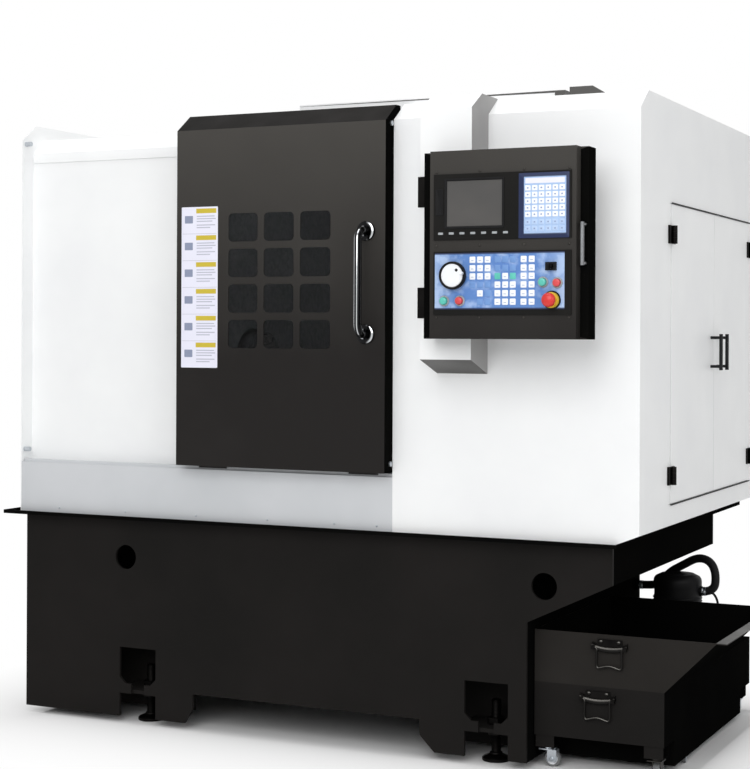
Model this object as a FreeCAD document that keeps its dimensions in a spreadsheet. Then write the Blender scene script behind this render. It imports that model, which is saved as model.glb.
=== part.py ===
"""CNC turning lathe with a slant bed, an eight-station turret and a full enclosure.

The frame: +X to the right along the spindle, +Y from the front to the rear, +Z up, millimetres. The origin
is on the floor, under the middle of the machine with its coolant cart. Distances named *_from_left count
from the enclosure's left end, and those named *_back count rearwards from the enclosure's front face.
"""

import FreeCAD, Part
import Sketcher
import math
import os
import re

V = FreeCAD.Vector
NAME = re.compile(r"[a-z][a-z_]+")
ALONG = {"x": (V(0, 1, 0), 90), "y": (V(1, 0, 0), -90), "z": (V(0, 0, 1), 0)}

doc = FreeCAD.newDocument("TurningLathe")
dims = doc.addObject("Spreadsheet::Sheet", "Dims")
spots = doc.addObject("Spreadsheet::Sheet", "Spots")
homes = {}
nodes = []


# ------------------------------------------------------------------ sizes and formulas


def formula(text, inside=None):
    """A formula of plain size names, with the sheet of each size in front of its name."""

    def full(found):
        home = homes.get(found.group())
        if home is None or home is inside:
            return found.group()
        return f"{home.Name}.{found.group()}"

    return NAME.sub(full, text)


def rows(sheet, values):
    """Adds a row for each value: its name, the value, and the name as the value's alias."""
    for name, value in values.items():
        row = 1 + sum(1 for home in homes.values() if home is sheet)
        sheet.set(f"A{row}", name)
        sheet.set(f"B{row}", value)
        sheet.setAlias(f"B{row}", name)
        homes[name] = sheet
    sheet.recompute()


def sizes(values):
    """Driving sizes, each set by itself."""
    rows(dims, {name: str(value) for name, value in values.items()})


def places(**formulas):
    """Places and sizes that follow from the driving ones."""
    for name, text in formulas.items():
        rows(spots, {name: "=" + formula(text, spots)})


def number(text):
    return float(dims.evalExpression(formula(text)))


def bind(thing, **formulas):
    for name, text in formulas.items():
        thing.setExpression(name, formula(text))


def place(thing, x="0", y="0", z="0", axis=None, angle="0"):
    """Puts a thing at x, y, z, turned by an angle about an axis."""
    if axis:
        thing.Placement = FreeCAD.Placement(V(), FreeCAD.Rotation(V(*axis), 1))
        thing.setExpression("Placement.Rotation.Angle", formula(angle))
    for letter, text in zip("xyz", (x, y, z)):
        thing.setExpression(f"Placement.Base.{letter}", formula(text))
    return thing


def on_slope(thing, x):
    """Puts a thing made in the bed's own frame (X, up the slope, off the slope) on the slanted bed."""
    return place(thing, x, "slope_y", "slope_z", (1, 0, 0), "slant_angle")


def node(name, thing):
    """Names a finished sub-part."""
    thing.Label = name
    nodes.append(thing)
    return thing


# ------------------------------------------------------------------ solids


def block(name, length, width, height, x="0", y="0", z="0"):
    box = doc.addObject("Part::Box", name)
    bind(box, Length=length, Width=width, Height=height)
    return place(box, x, y, z)


def rod(name, radius, length, along="z", x="0", y="0", z="0"):
    cylinder = doc.addObject("Part::Cylinder", name)
    bind(cylinder, Radius=radius, Height=length)
    cylinder.Placement = FreeCAD.Placement(V(), FreeCAD.Rotation(*ALONG[along]))
    return place(cylinder, x, y, z)


def taper(name, first_radius, last_radius, length, along="z", x="0", y="0", z="0"):
    cone = doc.addObject("Part::Cone", name)
    bind(cone, Radius1=first_radius, Radius2=last_radius, Height=length)
    cone.Placement = FreeCAD.Placement(V(), FreeCAD.Rotation(*ALONG[along]))
    return place(cone, x, y, z)


def cut(name, base, *tools):
    for count, tool in enumerate(tools):
        step = doc.addObject("Part::Cut", f"{name}_{count}")
        step.Base = base
        step.Tool = tool
        base = step
    return base


def fuse(name, *pieces):
    whole = doc.addObject("Part::MultiFuse", name)
    whole.Shapes = list(pieces)
    whole.Refine = True
    return whole


def group(name, *pieces):
    """Several separate solids that share one node."""
    whole = doc.addObject("Part::Compound", name)
    whole.Links = list(pieces)
    return whole


# ------------------------------------------------------------------ bodies made from sketches


def body(name):
    return doc.addObject("PartDesign::Body", name)


def sketch(owner, role, offset="0"):
    """A sketch on one of the body's own planes, moved along the plane's normal."""
    drawing = owner.newObject("Sketcher::SketchObject", owner.Name + "_sketch")
    plane = next(feature for feature in owner.Origin.OriginFeatures if feature.Role == role)
    drawing.AttachmentSupport = [(plane, "")]
    drawing.MapMode = "FlatFace"
    drawing.setExpression("AttachmentOffset.Base.z", formula(offset))
    return drawing


def fix_point(drawing, item, end, x, y):
    """Dimensions a point of the sketch from the sketch's origin."""
    for kind, text in (("DistanceX", x), ("DistanceY", y)):
        drawing.addConstraint(Sketcher.Constraint(kind, -1, 1, item, end, number(text)))
        drawing.setExpression(f"Constraints[{drawing.ConstraintCount - 1}]", formula(text))


def outline(drawing, *corners):
    """A closed outline of straight lines through the corners."""
    first = drawing.GeometryCount
    spots_now = [V(number(x), number(y), 0) for x, y in corners]
    count = len(corners)
    lines = [Part.LineSegment(spots_now[i], spots_now[(i + 1) % count]) for i in range(count)]
    drawing.addGeometry(lines, False)
    joins = [
        Sketcher.Constraint("Coincident", first + i, 2, first + (i + 1) % count, 1)
        for i in range(count)
    ]
    drawing.addConstraint(joins)
    for i, (x, y) in enumerate(corners):
        fix_point(drawing, first + i, 1, x, y)
    return drawing


def rectangle(drawing, x, y, width, height):
    """A rectangle from its lower left corner."""
    right = f"({x}) + ({width})"
    top = f"({y}) + ({height})"
    return outline(drawing, (x, y), (right, y), (right, top), (x, top))


def circle(drawing, x, y, radius):
    item = drawing.GeometryCount
    centre = V(number(x), number(y), 0)
    drawing.addGeometry(Part.Circle(centre, V(0, 0, 1), number(radius)), False)
    fix_point(drawing, item, 3, x, y)
    drawing.addConstraint(Sketcher.Constraint("Radius", item, number(radius)))
    drawing.setExpression(f"Constraints[{drawing.ConstraintCount - 1}]", formula(radius))
    return drawing


def round_rectangle(drawing, x, y, width, height, radius):
    """A rectangle whose corners are quarter circles: each side's ends and each arc's radius are set."""
    first = drawing.GeometryCount
    left, right = (x, f"({x}) + ({width})")
    low, top = (y, f"({y}) + ({height})")
    in_left, in_right = (f"({left}) + ({radius})", f"({right}) - ({radius})")
    in_low, in_top = (f"({low}) + ({radius})", f"({top}) - ({radius})")
    sides = [
        ((in_left, low), (in_right, low), (in_right, in_low)),
        ((right, in_low), (right, in_top), (in_right, in_top)),
        ((in_right, top), (in_left, top), (in_left, in_top)),
        ((left, in_top), (left, in_low), (in_left, in_low)),
    ]
    for turn, (start, end, centre) in enumerate(sides):
        here, there, middle = (V(number(a), number(b), 0) for a, b in (start, end, centre))
        drawing.addGeometry(Part.LineSegment(here, there), False)
        ring = Part.Circle(middle, V(0, 0, 1), number(radius))
        quarter = math.pi / 2
        drawing.addGeometry(Part.ArcOfCircle(ring, (turn - 1) * quarter, turn * quarter), False)
    for turn, (start, end, centre) in enumerate(sides):
        side = first + 2 * turn
        arc = side + 1
        after = first + (2 * turn + 2) % 8
        drawing.addConstraint(Sketcher.Constraint("Coincident", side, 2, arc, 1))
        drawing.addConstraint(Sketcher.Constraint("Coincident", arc, 2, after, 1))
        drawing.addConstraint(Sketcher.Constraint("Radius", arc, number(radius)))
        drawing.setExpression(f"Constraints[{drawing.ConstraintCount - 1}]", formula(radius))
        fix_point(drawing, side, 1, *start)
        fix_point(drawing, side, 2, *end)
    return drawing


def pad(drawing, length, rearwards=False):
    """Extrudes a sketch along its normal, or rearwards from an upright front-facing sketch."""
    owner = drawing.getParentGeoFeatureGroup()
    feature = owner.newObject("PartDesign::Pad", owner.Name + "_pad")
    feature.Profile = drawing
    feature.Reversed = rearwards
    feature.setExpression("Length", formula(length))
    return feature


def pocket(drawing, length=None, onwards=False):
    """Cuts a sketch out of its body: right through both ways, or to a depth against or along its normal."""
    owner = drawing.getParentGeoFeatureGroup()
    feature = owner.newObject("PartDesign::Pocket", owner.Name + "_pocket")
    feature.Profile = drawing
    if length is None:
        feature.Type = "ThroughAll"
        feature.SideType = "Symmetric"
    else:
        feature.Reversed = onwards
        feature.setExpression("Length", formula(length))
    return feature


# ------------------------------------------------------------------ the whole machine

WHOLE_SIZES = {
    "left_end": -1177,
    "front_face": -579.5,
    "enclosure_length": 2170,
    "enclosure_depth": 1446,
    "roof_height": 1998,
    "sheet": 3,
    "run_gap": 0.3,
}
sizes(WHOLE_SIZES)
places(
    right_end="left_end + enclosure_length",
    rear_face="front_face + enclosure_depth",
)


# ------------------------------------------------------------------ base

BASE_SIZES = {
    "base_from_left": 12,
    "base_length": 2073,
    "base_back": 20,
    "base_depth": 1147,
    "base_plate": 10,
    "base_bottom": 22,
    "base_top": 676,
    "leg_from_left": 1822,
    "wing_low": 438,
    "wing_high": 563,
    "arch_from_left": 672,
    "arch_to_left": 1476,
    "arch_top": 118,
    "arch_left_flare": 30,
    "arch_right_flare": 50,
    "arch_flare_height": 50,
    "foot_from_left": 460,
    "foot_to_left": 1694,
    "foot_inset": 85,
    "keyhole_width": 140,
    "keyhole_top": 250,
    "keyhole_low": 130,
    "keyhole_clip": 22,
    "slot_width": 50,
    "bracket_height": 98,
    "bracket_plate": 12,
    "bracket_width": 200,
    "bracket_depth": 150,
    "stud_radius": 15,
    "pad_radius": 43,
    "pad_height": 30,
    "pad_edge": 8,
    "nut_radius": 26,
    "nut_height": 20,
    "stud_top": 185,
    "lift_radius": 40,
    "lift_from_left": 412,
    "lift_to_left": 1876,
    "lift_height": 548,
    "beam_width": 80,
    "beam_height": 100,
    "beam_wall": 6,
}
sizes(BASE_SIZES)
places(
    base_x="left_end + base_from_left",
    base_y="front_face + base_back",
    base_rear="base_y + base_depth",
    base_height="base_top - base_bottom",
    leg_x="left_end + leg_from_left",
    leg_length="leg_from_left - base_from_left",
    inner_depth="base_depth - 2 * base_plate",
)


def base_wall(name, y):
    """An upright base plate with the middle arch, a keyhole over each foot and two lifting-bar holes."""
    wall = body(name)
    face = sketch(wall, "XZ_Plane")
    outline(
        face,
        ("0", "0"),
        ("leg_length", "0"),
        ("leg_length", "wing_low - base_bottom"),
        ("base_length", "wing_high - base_bottom"),
        ("base_length", "base_height"),
        ("0", "base_height"),
    )
    pad(face, "base_plate", rearwards=True)
    holes = sketch(wall, "XZ_Plane")
    left = "arch_from_left - base_from_left"
    right = "arch_to_left - base_from_left"
    outline(
        holes,
        (f"{left} - arch_left_flare", "0 - base_plate"),
        (f"{left} - arch_left_flare", "0"),
        (left, "arch_flare_height"),
        (left, "arch_top - base_bottom"),
        (right, "arch_top - base_bottom"),
        (right, "arch_flare_height"),
        (f"{right} + arch_right_flare", "0"),
        (f"{right} + arch_right_flare", "0 - base_plate"),
    )
    for foot in ("foot_from_left", "foot_to_left"):
        middle = f"{foot} - base_from_left"
        low = "keyhole_low - base_bottom"
        right_side = [
            (f"{middle} + keyhole_width / 2", "0 - base_plate"),
            (f"{middle} + keyhole_width / 2", "bracket_height - base_bottom"),
            (f"{middle} + slot_width / 2", "bracket_height - base_bottom"),
            (f"{middle} + slot_width / 2", low),
            (f"{middle} + keyhole_width / 2 - keyhole_clip", low),
            (f"{middle} + keyhole_width / 2", f"{low} + keyhole_clip"),
            (f"{middle} + keyhole_width / 2", "keyhole_top - base_bottom"),
        ]
        left_side = [(f"2 * ({middle}) - ({x})", z) for x, z in reversed(right_side)]
        outline(holes, *right_side, *left_side)
    for lift in ("lift_from_left", "lift_to_left"):
        circle(holes, f"{lift} - base_from_left", "lift_height - base_bottom", "lift_radius")
    pocket(holes)
    place(wall, "base_x", y, "base_bottom")
    return node(name, wall)


def base_sides():
    """The left side is flat. The right side is folded out from the leg to the wing over the cart."""
    side = body("base_right_plate")
    profile = sketch(side, "XZ_Plane")
    outline(
        profile,
        ("0 - base_plate", "0"),
        ("0", "0"),
        ("0", "wing_low - base_bottom"),
        ("base_length - leg_length", "wing_high - base_bottom"),
        ("base_length - leg_length", "base_height"),
        ("base_length - leg_length - base_plate", "base_height"),
        ("base_length - leg_length - base_plate", "wing_high - base_bottom + base_plate"),
        ("0 - base_plate", "wing_low - base_bottom + base_plate"),
    )
    pad(profile, "inner_depth", rearwards=True)
    place(side, "leg_x", "base_y + base_plate", "base_bottom")
    left = block("left_leg", "base_plate", "inner_depth", "base_height")
    place(left, "base_x", "base_y + base_plate", "base_bottom")
    port = rod("hose_port", "port_radius", "port_length", "x", "leg_x", "port_y", "port_z")
    gland = rod("cable_gland", "gland_radius", "gland_length", "x", "leg_x", "gland_y", "gland_z")
    node("base_side_plates", group("base_side_plates", side, left, port, gland))


def make_base():
    base_wall("base_front_plate", "base_y")
    base_wall("base_rear_plate", "base_rear - base_plate")
    base_sides()
    beams = []
    for count, spot in enumerate(("foot_from_left", "arch_to_left - beam_width", "foot_to_left")):
        tube = cut(
            f"beam_{count}",
            block(f"beam_outer_{count}", "beam_width", "inner_depth", "beam_height", "left_end + " + spot),
            block(
                f"beam_inner_{count}",
                "beam_width - 2 * beam_wall",
                "inner_depth",
                "beam_height - 2 * beam_wall",
                f"left_end + {spot} + beam_wall",
                "0",
                "beam_wall",
            ),
        )
        beams.append(tube)
    beam_set = place(group("base_beams", *beams), "0", "base_y + base_plate", "base_top - beam_height")
    brackets = []
    feet = []
    rows_y = {"front": "base_y + foot_inset", "rear": "base_rear - foot_inset"}
    for end, y in rows_y.items():
        inner = "base_y + base_plate" if end == "front" else "base_rear - base_plate - bracket_depth"
        for side in ("foot_from_left", "foot_to_left"):
            label = f"{end}_{side}"
            x = f"left_end + {side}"
            shelf = cut(
                f"shelf_{label}",
                block(
                    f"shelf_plate_{label}",
                    "bracket_width",
                    "bracket_depth",
                    "bracket_plate",
                    f"{x} - bracket_width / 2",
                    inner,
                    "bracket_height",
                ),
                rod(f"shelf_hole_{label}", "stud_radius + run_gap", "bracket_plate", "z", x, y, "bracket_height"),
            )
            brackets.append(shelf)
            foot = fuse(
                f"foot_{label}",
                taper(f"foot_edge_{label}", "pad_radius - pad_edge", "pad_radius", "pad_edge", "z", x, y),
                rod(f"foot_pad_{label}", "pad_radius", "pad_height - pad_edge", "z", x, y, "pad_edge"),
                rod(f"foot_stud_{label}", "stud_radius", "stud_top", "z", x, y),
                rod(f"foot_low_nut_{label}", "nut_radius", "nut_height", "z", x, y, "bracket_height - nut_height"),
                rod(f"foot_top_nut_{label}", "nut_radius", "nut_height", "z", x, y, "bracket_height + bracket_plate"),
            )
            feet.append(foot)
    node("base_cross_members", group("base_cross_members", beam_set, *brackets))
    node("leveling_feet", group("leveling_feet", *feet))


# ------------------------------------------------------------------ drip tray and bed

BED_SIZES = {
    "tray_left_overhang": 50,
    "tray_front_overhang": 28,
    "tray_rear_overhang": 4,
    "tray_to_left": 2110,
    "tray_rim": 12,
    "bed_from_left": 150,
    "bed_length": 1650,
    "bed_back": 420,
    "bed_width": 480,
    "bed_toe": 17,
    "bed_foot": 150,
    "slope_run": 389,
    "slant_angle": 45,
    "bed_wall": 40,
    "way_from_left": 660,
    "way_width": 60,
    "way_height": 30,
    "low_way": 90,
    "high_way": 400,
}
sizes(BED_SIZES)
places(
    tray_floor="base_top + sheet",
    bed_x="left_end + bed_from_left",
    bed_y="front_face + bed_back",
    slope_rise="slope_run * tan(slant_angle)",
    slope_y="bed_y + bed_toe",
    slope_z="tray_floor + bed_foot",
    bed_height="bed_foot + slope_rise",
    slope_length="slope_run / cos(slant_angle)",
    way_length="bed_from_left + bed_length - way_from_left",
)


def make_tray_and_bed():
    tray = body("drip_tray")
    depth = "enclosure_depth + tray_front_overhang + tray_rear_overhang"
    length = "tray_to_left + tray_left_overhang"
    pad(rectangle(sketch(tray, "XY_Plane"), "0", "0", length, depth), "tray_rim")
    well = sketch(tray, "XY_Plane", "sheet")
    rectangle(well, "sheet", "sheet", f"{length} - 2 * sheet", f"{depth} - 2 * sheet")
    pocket(well, "tray_rim", onwards=True)
    place(tray, "left_end - tray_left_overhang", "front_face - tray_front_overhang", "base_top")
    node("drip_tray", tray)

    bed = body("bed_shell")
    section = sketch(bed, "YZ_Plane")
    outline(
        section,
        ("0", "0"),
        ("bed_width", "0"),
        ("bed_width", "bed_height"),
        ("bed_toe + slope_run", "bed_height"),
        ("bed_toe", "bed_foot"),
        ("0", "bed_foot"),
    )
    pad(section, "bed_length")
    core = sketch(bed, "YZ_Plane")
    outline(
        core,
        ("2 * bed_wall", "bed_wall"),
        ("bed_width - bed_wall", "bed_wall"),
        ("bed_width - bed_wall", "bed_height - bed_wall"),
        ("bed_toe + slope_run + bed_wall / 2", "bed_height - bed_wall"),
        ("2 * bed_wall", "bed_foot + bed_wall - bed_toe - bed_wall / 2"),
    )
    pocket(core)
    place(bed, "bed_x", "bed_y", "tray_floor")
    ways = [
        block(f"way_{side}", "way_length", "way_width", "way_height", "0", side)
        for side in ("low_way", "high_way")
    ]
    way_pair = on_slope(group("bed_ways", *ways), "left_end + way_from_left")
    node("bed_casting", group("bed_casting", bed, way_pair))


# ------------------------------------------------------------------ headstock, spindle and chuck

SPINDLE_SIZES = {
    "spindle_up": 250,
    "spindle_off": 260,
    "head_length": 450,
    "head_radius": 180,
    "bearing_radius": 85,
    "bearing_length": 90,
    "journal_radius": 60,
    "nose_radius": 82,
    "nose_length": 20,
    "nose_gap": 5,
    "tail_radius": 35,
    "tail_length": 92,
    "bar_radius": 26,
    "pulley_radius": 100,
    "pulley_width": 60,
    "pulley_gap": 20,
    "chuck_radius": 105,
    "chuck_length": 85,
    "jaw_slot_width": 26,
    "jaw_slot_depth": 40,
    "jaw_inner": 38,
    "jaw_base_length": 60,
    "jaw_height": 30,
    "jaw_step": 15,
    "jaw_grip": 48,
    "jaw_step_radius": 70,
    "motor_back": 250,
    "motor_height": 835,
    "motor_size": 250,
    "motor_length": 380,
    "motor_foot": 26,
    "motor_foot_width": 50,
    "shaft_radius": 24,
    "motor_pulley_radius": 75,
    "belt_thickness": 8,
}
sizes(SPINDLE_SIZES)
places(
    spindle_y="slope_y + spindle_up * cos(slant_angle) - spindle_off * sin(slant_angle)",
    spindle_z="slope_z + spindle_up * sin(slant_angle) + spindle_off * cos(slant_angle)",
    head_x="bed_x",
    nose_x="head_x + head_length + nose_gap",
    chuck_x="nose_x + nose_length",
    chuck_face_x="chuck_x + chuck_length",
    spindle_x="head_x - tail_length",
    pulley_x="head_x - pulley_gap - pulley_width",
    motor_y="front_face + motor_back",
)


def make_headstock():
    head = body("headstock")
    section = sketch(head, "YZ_Plane")
    rectangle(section, "spindle_up - head_radius", "0", "2 * head_radius", "spindle_off")
    pad(section, "head_length")
    crown = circle(sketch(head, "YZ_Plane"), "spindle_up", "spindle_off", "head_radius")
    pad(crown, "head_length")
    bore = circle(sketch(head, "YZ_Plane"), "spindle_up", "spindle_off", "bearing_radius")
    pocket(bore)
    node("headstock", on_slope(head, "head_x"))

    bearings = []
    for end, x in (("tail", "head_x"), ("nose", "head_x + head_length - bearing_length")):
        spot = (x, "spindle_y", "spindle_z")
        bearings.append(
            cut(
                f"{end}_bearing",
                rod(f"{end}_race", "bearing_radius", "bearing_length", "x", *spot),
                rod(f"{end}_bore", "journal_radius + run_gap", "bearing_length", "x", *spot),
            )
        )
    node("spindle_bearings", group("spindle_bearings", *bearings))

    axis = ("spindle_y", "spindle_z")
    shaft = fuse(
        "spindle_bar",
        rod("spindle_tail", "tail_radius", "tail_length", "x", "spindle_x", *axis),
        rod("spindle_journal", "journal_radius", "head_length + nose_gap", "x", "head_x", *axis),
        rod("spindle_nose", "nose_radius", "nose_length", "x", "nose_x", *axis),
        rod("spindle_wheel", "pulley_radius", "pulley_width", "x", "pulley_x", *axis),
    )
    bore = rod("spindle_bore", "bar_radius", "chuck_x - spindle_x", "x", "spindle_x", *axis)
    node("spindle", cut("spindle", shaft, bore))


def make_chuck():
    """The chuck has three radial slots, and a stepped jaw slides in each."""
    chuck = body("chuck_body")
    face = sketch(chuck, "YZ_Plane")
    circle(face, "0", "0", "chuck_radius")
    circle(face, "0", "0", "bar_radius")
    pad(face, "chuck_length")
    slot = sketch(chuck, "YZ_Plane", "chuck_length")
    rectangle(slot, "0 - jaw_slot_width / 2", "bar_radius / 2", "jaw_slot_width", "chuck_radius")
    channel = pocket(slot, "jaw_slot_depth")
    doc.recompute()
    ring = chuck.newObject("PartDesign::PolarPattern", "slot_pattern")
    ring.Originals = [channel]
    ring.Axis = (next(f for f in chuck.Origin.OriginFeatures if f.Role == "X_Axis"), [""])
    ring.Angle = 360
    ring.Occurrences = 3
    chuck.Tip = ring
    node("chuck_body", place(chuck, "chuck_x", "spindle_y", "spindle_z"))
    for count in range(3):
        jaw = body(f"chuck_jaw_{count + 1}")
        profile = sketch(jaw, "XZ_Plane", "run_gap - jaw_slot_width / 2")
        root = "jaw_slot_depth - run_gap"
        top = f"{root} + jaw_height"
        end = "jaw_inner + jaw_base_length"
        outline(
            profile,
            ("0", "jaw_inner"),
            (root, "jaw_inner"),
            (root, "jaw_grip"),
            (top, "jaw_grip"),
            (top, "jaw_step_radius"),
            (f"{top} - jaw_step", "jaw_step_radius"),
            (f"{top} - jaw_step", end),
            ("0", end),
        )
        pad(profile, "jaw_slot_width - 2 * run_gap")
        turn = 120 * count
        spot = ("chuck_face_x - jaw_slot_depth + run_gap", "spindle_y", "spindle_z")
        node(f"chuck_jaw_{count + 1}", place(jaw, *spot, (1, 0, 0), str(turn)))


def belt_loop(name, reach):
    """The closed outline round both pulleys, a given distance off their rims: two tangents and two arcs."""
    top = V(0, number("spindle_y"), number("spindle_z"))
    low = V(0, number("motor_y"), number("motor_height"))
    big = number("pulley_radius") + reach
    small = number("motor_pulley_radius") + reach
    along = low - top
    lean = math.acos((big - small) / along.Length)
    heading = math.atan2(along.z, along.y)

    def rim(centre, radius, angle):
        return centre + V(0, radius * math.cos(angle), radius * math.sin(angle))

    edges = [
        Part.LineSegment(rim(top, big, heading + lean), rim(low, small, heading + lean)),
        Part.Arc(rim(low, small, heading + lean), rim(low, small, heading), rim(low, small, heading - lean)),
        Part.LineSegment(rim(low, small, heading - lean), rim(top, big, heading - lean)),
        Part.Arc(rim(top, big, heading - lean), rim(top, big, heading + math.pi), rim(top, big, heading + lean)),
    ]
    wire = Part.Wire([edge.toShape() for edge in edges])
    return Part.Face(wire)


def make_drive():
    axis = ("motor_y", "motor_height")
    case = block("motor_case", "motor_length", "motor_size", "motor_size")
    place(case, "head_x", "motor_y - motor_size / 2", "motor_height - motor_size / 2")
    feet = []
    for side in ("0", "motor_size - motor_foot_width"):
        foot = block(
            "motor_foot",
            "motor_length",
            "motor_foot_width",
            "motor_height - motor_size / 2 - tray_floor",
            "head_x",
            f"motor_y - motor_size / 2 + {side}",
            "tray_floor",
        )
        feet.append(foot)
    hole = rod("motor_hole", "shaft_radius + run_gap", "motor_foot_width", "x", "head_x", *axis)
    node("spindle_motor", cut("spindle_motor", fuse("motor_shell", case, *feet), hole))
    reach = "head_x + motor_foot_width - pulley_x - run_gap"
    rotor = fuse(
        "motor_pulley",
        rod("motor_wheel", "motor_pulley_radius", "pulley_width", "x", "pulley_x", *axis),
        rod("motor_shaft", "shaft_radius", reach, "x", "pulley_x", *axis),
    )
    node("motor_pulley", rotor)

    gap = number("run_gap")
    width = number("pulley_width")
    outer = belt_loop("outer", gap + number("belt_thickness")).extrude(V(width, 0, 0))
    inner = belt_loop("inner", gap).extrude(V(width, 0, 0))
    belt = doc.addObject("Part::Feature", "drive_belt")
    belt.Shape = outer.cut(inner)
    node("drive_belt", place(belt, "pulley_x"))


# ------------------------------------------------------------------ saddle, turret and tailstock

SLIDE_SIZES = {
    "saddle_from_left": 1105,
    "saddle_length": 280,
    "saddle_low": 60,
    "saddle_high": 660,
    "saddle_top": 85,
    "skirt_low": 5,
    "rail_inset": 50,
    "rail_width": 40,
    "rail_height": 30,
    "slide_length": 260,
    "slide_up": 331,
    "slide_span": 300,
    "slide_plate": 40,
    "slide_lift": 3,
    "head_inset": 10,
    "turret_up": 481,
    "turret_head_length": 200,
    "turret_head_half": 100,
    "turret_head_top": 370,
    "turret_flats": 240,
    "turret_disc_length": 60,
    "turret_gap": 5,
    "turret_shaft_radius": 40,
    "turret_shaft_length": 75,
    "holder_length": 56,
    "holder_width": 50,
    "holder_height": 38,
    "bar_tool_radius": 11,
    "bar_tool_reach": 70,
    "shank_size": 20,
    "shank_reach": 30,
    "servo_size": 110,
    "servo_length": 170,
    "tail_from_left": 1460,
    "tail_body_length": 240,
    "tail_post": 190,
    "tail_top": 345,
    "tail_lip": 12,
    "quill_radius": 38,
    "quill_length": 250,
    "quill_out": 70,
    "centre_length": 30,
    "centre_radius": 17,
}
sizes(SLIDE_SIZES)
places(
    saddle_x="left_end + saddle_from_left",
    slide_x="saddle_x + head_inset",
    slide_low="saddle_top + slide_lift",
    slide_top="saddle_top + rail_height + run_gap + slide_plate",
    rail_x="slide_x + rail_inset - head_inset",
    rail_to_x="slide_x + slide_length - rail_inset + head_inset - rail_width",
    turret_x="slide_x - turret_gap - turret_disc_length",
    turret_y="slope_y + turret_up * cos(slant_angle) - spindle_off * sin(slant_angle)",
    turret_z="slope_z + turret_up * sin(slant_angle) + spindle_off * cos(slant_angle)",
    tail_x="left_end + tail_from_left",
)


def carriage_section(drawing, high, top):
    """A plate over both ways, with a skirt down the outer side of each way."""
    inner_low = "low_way - run_gap"
    inner_high = "high_way + way_width + run_gap"
    seat = "way_height + run_gap"
    outline(
        drawing,
        ("saddle_low", "skirt_low"),
        (inner_low, "skirt_low"),
        (inner_low, seat),
        (inner_high, seat),
        (inner_high, "skirt_low"),
        (f"{inner_high} + low_way - saddle_low", "skirt_low"),
        (f"{inner_high} + low_way - saddle_low", seat),
        (high, seat),
        (high, top),
        ("saddle_low", top),
    )
    return drawing


def make_carriage():
    saddle = body("saddle_plate")
    pad(carriage_section(sketch(saddle, "YZ_Plane"), "saddle_high", "saddle_top"), "saddle_length")
    for x in ("rail_x - saddle_x", "rail_to_x - saddle_x"):
        strip = sketch(saddle, "XY_Plane", "saddle_top")
        rectangle(strip, x, "saddle_low", "rail_width", "saddle_high - saddle_low")
        pad(strip, "rail_height")
    servo = fuse(
        "x_servo",
        block("x_servo_case", "servo_size", "servo_length", "servo_size"),
        rod("x_servo_cap", "servo_size / 2.5", "servo_size / 2", "y", "servo_size / 2", "servo_length", "servo_size / 2"),
    )
    place(servo, "saddle_length / 2 - servo_size / 2", "saddle_high", "way_height")
    node("saddle", on_slope(group("saddle", saddle, servo), "saddle_x"))

    slide = body("slide_plate")
    section = sketch(slide, "XZ_Plane")
    inner = "rail_x - slide_x - run_gap"
    outer = "rail_to_x - slide_x + rail_width + run_gap"
    seat = "saddle_top + rail_height + run_gap"
    outline(
        section,
        ("0", "slide_low"),
        (inner, "slide_low"),
        (inner, seat),
        (outer, seat),
        (outer, "slide_low"),
        ("slide_length", "slide_low"),
        ("slide_length", "slide_top"),
        ("0", "slide_top"),
    )
    pad(section, "slide_span", rearwards=True)
    carrier = group("x_slide", place(slide, "0", "slide_up"))
    node("x_slide", on_slope(carrier, "slide_x"))

    housing = body("turret_head")
    face = sketch(housing, "YZ_Plane")
    chamfer = "turret_head_half / 2"
    low = "turret_up - turret_head_half"
    high = "turret_up + turret_head_half"
    outline(
        face,
        (low, "slide_top"),
        (high, "slide_top"),
        (high, f"turret_head_top - {chamfer}"),
        (f"{high} - {chamfer}", "turret_head_top"),
        (f"{low} + {chamfer}", "turret_head_top"),
        (low, f"turret_head_top - {chamfer}"),
    )
    pad(face, "turret_head_length")
    socket = circle(sketch(housing, "YZ_Plane"), "turret_up", "spindle_off", "turret_shaft_radius + run_gap")
    pocket(socket, "turret_shaft_length", onwards=True)
    node("turret_head", on_slope(housing, "slide_x"))


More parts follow.
